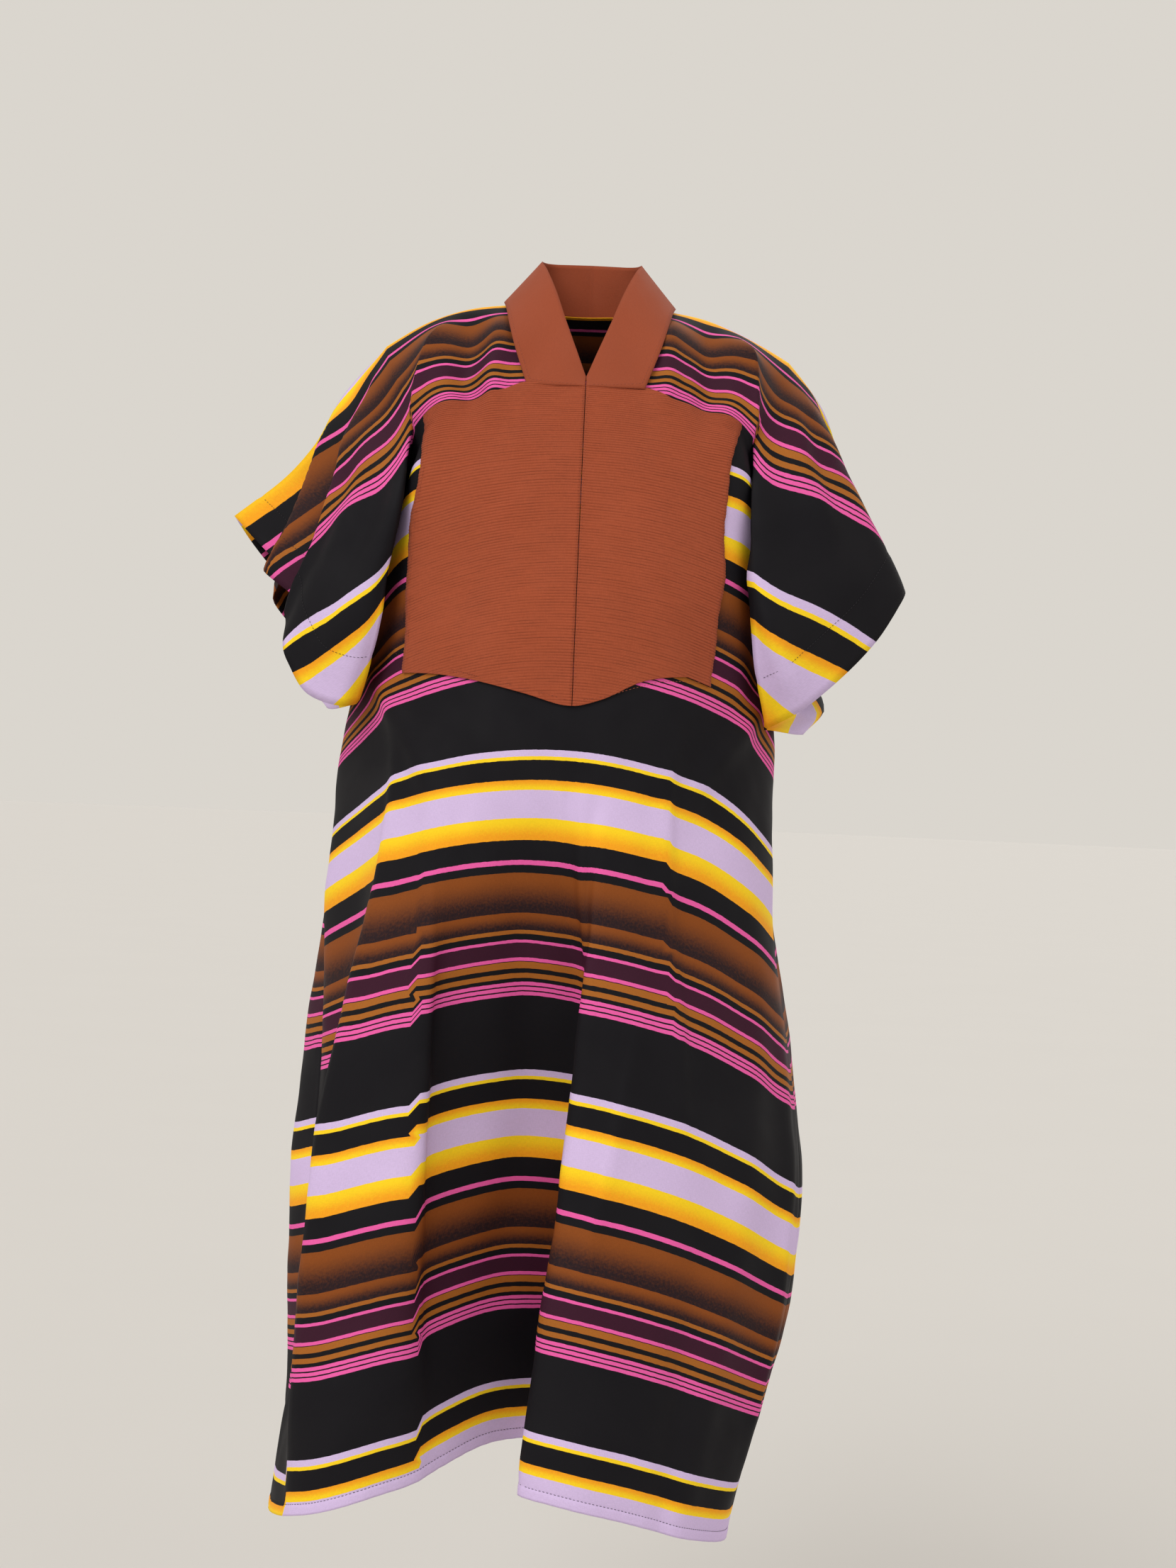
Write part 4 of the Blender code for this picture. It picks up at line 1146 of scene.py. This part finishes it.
def sew(mesh, points, normals, cloth, slant=0.0):
    """Adds stitches one after another along a path. Slant turns each one across the path."""
    gone = np.append(0, np.cumsum(np.linalg.norm(np.diff(points, axis=0), axis=1)))
    step = cloth.stitch + cloth.stitch_gap
    for start in np.arange(step / 2, gone[-1] - step, step):
        a, b = (np.array([np.interp(s, gone, points[:, k]) for k in range(3)])
                for s in (start, start + cloth.stitch))
        up = Vector([np.interp(start, gone, normals[:, k]) for k in range(3)]).normalized()
        way = Vector(b - a)
        if way.length < 1e-5:
            continue
        way.normalize()
        beside = up.cross(way).normalized()
        way = (way + slant * beside).normalized()
        beside = up.cross(way).normalized()
        place = Matrix((way, beside, up)).transposed().to_4x4()
        place.translation = Vector((a + b) / 2)
        size = Matrix.Diagonal((cloth.stitch / 2, cloth.thread / 2, cloth.thread / 2, 1.0))
        bmesh.ops.create_icosphere(mesh, subdivisions=1, radius=1.0, matrix=place @ size)


def finish_stitches(name, mesh, material):
    """Makes the piece that holds a run of stitches."""
    data = bpy.data.meshes.new(name)
    mesh.to_mesh(data)
    mesh.free()
    data.shade_smooth()
    data.materials.append(material)
    piece = bpy.data.objects.new(name, data)
    bpy.context.scene.collection.objects.link(piece)
    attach(piece, "root")
    return piece


def hem_stitches(face, cloth):
    """The dark stitch lines of a panel's bottom hem and sleeve hems."""
    piece = bpy.data.objects["robe_" + face]
    mesh = bmesh.new()
    lift = cloth.shell / 2 + cloth.thread * 0.2
    width = BODY_HALF_WIDTH - 0.006
    across = np.linspace(-width, width, 160)
    lines = [[(u, ROBE_LENGTH - cloth.hem_turn) for u in across]]
    for side in (-1, 1):
        u = side * (SLEEVE_HALF_SPAN - cloth.sleeve_turn)
        lines.append([(u, v) for v in np.linspace(0.004, sleeve_depth_at(abs(u)) - 0.004, 70)])
    for line in lines:
        points, normals = stitch_path(piece, line, lift)
        sew(mesh, points, normals, cloth)
    dark = thread_material("dark_thread", DARK_THREAD)
    return finish_stitches(f"robe_{face}_hem_stitches", mesh, dark)


def rust_stitches(cloth):
    """Stitches round the bib, down its centre seam and along the neck band."""
    rust = thread_material("rust_thread", tuple(STITCH_SHADE * part for part in cloth.rust))
    made = []
    for name, side in (("bib_right", -1), ("bib_left", 1)):
        piece = bpy.data.objects["robe_" + name]
        lower, sides = np.array(BIB_LOWER_EDGE), np.array(BIB_SIDES)
        mesh = bmesh.new()
        lift = cloth.shell * 0.75 + cloth.thread * 0.1
        drops = np.linspace(BIB_TOP_DROP + STITCH_INSET, SIDE_STITCH_END, 60)
        edge_x = np.interp(drops, sides[:, 0], sides[:, 1 if side < 0 else 2]) - STITCH_INSET
        points, normals = stitch_path(piece, [(side * x, v) for x, v in zip(edge_x, drops)], lift)
        sew(mesh, points, normals, cloth)
        across = np.linspace(STITCH_INSET, LOWER_STITCH_END, 50) * side
        low = np.interp(across, lower[:, 0], lower[:, 1]) - STITCH_INSET
        points, normals = stitch_path(piece, list(zip(across, low)), lift)
        sew(mesh, points, normals, cloth)
        drops = np.linspace(BIB_TOP_DROP + STITCH_INSET, SEAM_STITCH_END, 90)
        points, normals = stitch_path(piece, [(side * SEAM_STITCH_OUT, v) for v in drops], lift)
        sew(mesh, points, normals, cloth, slant=side * SEAM_STITCH_SLANT)
        made.append(finish_stitches(f"robe_{name}_stitches", mesh, rust))
    piece = bpy.data.objects["robe_neck_band"]
    _, _, flat = read_mesh(piece.data)
    reach = flat[:, 0].max() - 0.003
    mesh = bmesh.new()
    line = [(u, STITCH_INSET) for u in np.linspace(-reach, reach, 240) if abs(u) > 0.003]
    for side in (-1, 1):
        half = [at for at in line if at[0] * side > 0]
        points, normals = stitch_path(piece, half, cloth.shell + cloth.thread * 0.1)
        sew(mesh, points, normals, cloth)
    made.append(finish_stitches("robe_neck_band_stitches", mesh, rust))
    return made


# Stage

FLOOR_RADIUS = 60.0
CAMERA_PLACE = (0.017, -2.35, -0.453)
CAMERA_ROLL = math.radians(2.4)
CAMERA_LENS = 56.6
SUNS = (
    # name, from where, strength, width in degrees
    ("key", (-1.2, -1.7, 1.5), 1.40, 40.0),
    ("fill", (1.6, -1.2, 0.5), 0.35, 60.0),
    ("behind", (0.6, 2.0, 1.0), 0.65, 50.0),
)
AIR_COLOUR = (0.74, 0.705, 0.65, 1.0)
AIR_STRENGTH = 0.95


def make_floor(stage):
    """A plain pale floor, wide enough to reach past the view."""
    mesh = bmesh.new()
    bmesh.ops.create_circle(mesh, cap_ends=True, segments=96, radius=FLOOR_RADIUS,
                            matrix=Matrix.Translation((0, 0, -stage.floor_drop)))
    data = bpy.data.meshes.new("floor")
    mesh.to_mesh(data)
    mesh.free()
    floor = bpy.data.objects.new("floor", data)
    bpy.context.scene.collection.objects.link(floor)
    material, make, shader = start_material("floor_paint")
    at = make.add("ShaderNodeTexCoord").outputs["Object"]
    shade = make.ease(make.noise(at, 2.0), 0.3, 0.7, 0.997, 1.003)
    tint = make.add("ShaderNodeVectorMath", {0: tuple(stage.floor_colour)}, operation="SCALE")
    make.tree.links.new(shade, tint.inputs["Scale"])
    make.tree.links.new(tint.outputs[0], shader["Base Color"])
    shader["Roughness"].default_value = 0.9
    data.materials.append(material)


def make_lights():
    """Soft suns, and light from all round."""
    for name, place, strength, width in SUNS:
        light = bpy.data.lights.new(name, "SUN")
        light.energy = strength
        light.angle = math.radians(width)
        lamp = bpy.data.objects.new(name, light)
        lamp.location = place
        lamp.rotation_euler = (-Vector(place)).to_track_quat("-Z", "Y").to_euler()
        bpy.context.scene.collection.objects.link(lamp)
    world = bpy.data.worlds.new("air")
    world.use_nodes = True
    air = world.node_tree.nodes["Background"].inputs
    air["Color"].default_value = AIR_COLOUR
    air["Strength"].default_value = AIR_STRENGTH
    bpy.context.scene.world = world
    bpy.context.scene.view_settings.view_transform = "Standard"


def make_camera():
    """The camera, level with the robe and rolled a little."""
    camera = bpy.data.objects.new("camera", bpy.data.cameras.new("camera"))
    camera.data.lens = CAMERA_LENS
    upright = Matrix.Rotation(math.radians(90), 4, "X") @ Matrix.Rotation(CAMERA_ROLL, 4, "Z")
    camera.matrix_world = Matrix.Translation(CAMERA_PLACE) @ upright
    bpy.context.scene.collection.objects.link(camera)
    bpy.context.scene.camera = camera


# Operators

class ROBE_OT_stage(bpy.types.Operator):
    """Make the floor, the soft lights and the camera"""
    bl_idname = "robe.stage"
    bl_label = "Stage"

    def execute(self, context):
        make_floor(context.scene.robe_stage)
        make_lights()
        make_camera()
        return {"FINISHED"}


class ROBE_OT_panels(bpy.types.Operator):
    """Make the front and back panels with their grown-on sleeves"""
    bl_idname = "robe.panels"
    bl_label = "Front and back panels"

    def execute(self, context):
        for face in ("front", "back"):
            piece = make_panel(face, context.scene.robe_cloth)
        return {"FINISHED"}


class ROBE_OT_bib(bpy.types.Operator):
    """Make both halves of the ribbed bib"""
    bl_idname = "robe.bib"
    bl_label = "Bib"

    def execute(self, context):
        for name, side in (("robe_bib_right", -1), ("robe_bib_left", 1)):
            piece = make_bib(name, side, context.scene.robe_cloth)
        return {"FINISHED"}


class ROBE_OT_neck_band(bpy.types.Operator):
    """Make the standing neck band"""
    bl_idname = "robe.neck_band"
    bl_label = "Neck band"

    def execute(self, context):
        piece = make_band(context.scene.robe_cloth)
        return {"FINISHED"}


class ROBE_OT_stitches(bpy.types.Operator):
    """Sew the hems, the bib and the neck band"""
    bl_idname = "robe.stitches"
    bl_label = "Stitches"

    def execute(self, context):
        cloth = context.scene.robe_cloth
        for face in ("front", "back"):
            hem_stitches(face, cloth)
        rust_stitches(cloth)
        return {"FINISHED"}


class ROBE_PT_panel(bpy.types.Panel):
    bl_idname = "ROBE_PT_panel"
    bl_label = "Worn striped robe"
    bl_space_type = "VIEW_3D"
    bl_region_type = "UI"
    bl_category = "Robe"

    def draw(self, context):
        for settings in (context.scene.robe_cloth, context.scene.robe_stage):
            box = self.layout.box()
            for name in settings.__annotations__:
                box.prop(settings, name)
        for operator in OPERATORS:
            self.layout.operator(operator.bl_idname)


OPERATORS = (ROBE_OT_stage, ROBE_OT_panels, ROBE_OT_bib, ROBE_OT_neck_band, ROBE_OT_stitches)
CLASSES = (RobeCloth, RobeStage, *OPERATORS, ROBE_PT_panel)


def register():
    for each in CLASSES:
        bpy.utils.register_class(each)
    bpy.types.Scene.robe_cloth = bpy.props.PointerProperty(type=RobeCloth)
    bpy.types.Scene.robe_stage = bpy.props.PointerProperty(type=RobeStage)


def unregister():
    del bpy.types.Scene.robe_stage
    del bpy.types.Scene.robe_cloth
    for each in reversed(CLASSES):
        bpy.utils.unregister_class(each)


def main():
    register()
    for operator in OPERATORS:
        family, name = operator.bl_idname.split(".")
        getattr(getattr(bpy.ops, family), name)()


if __name__ == "__main__":
    main()
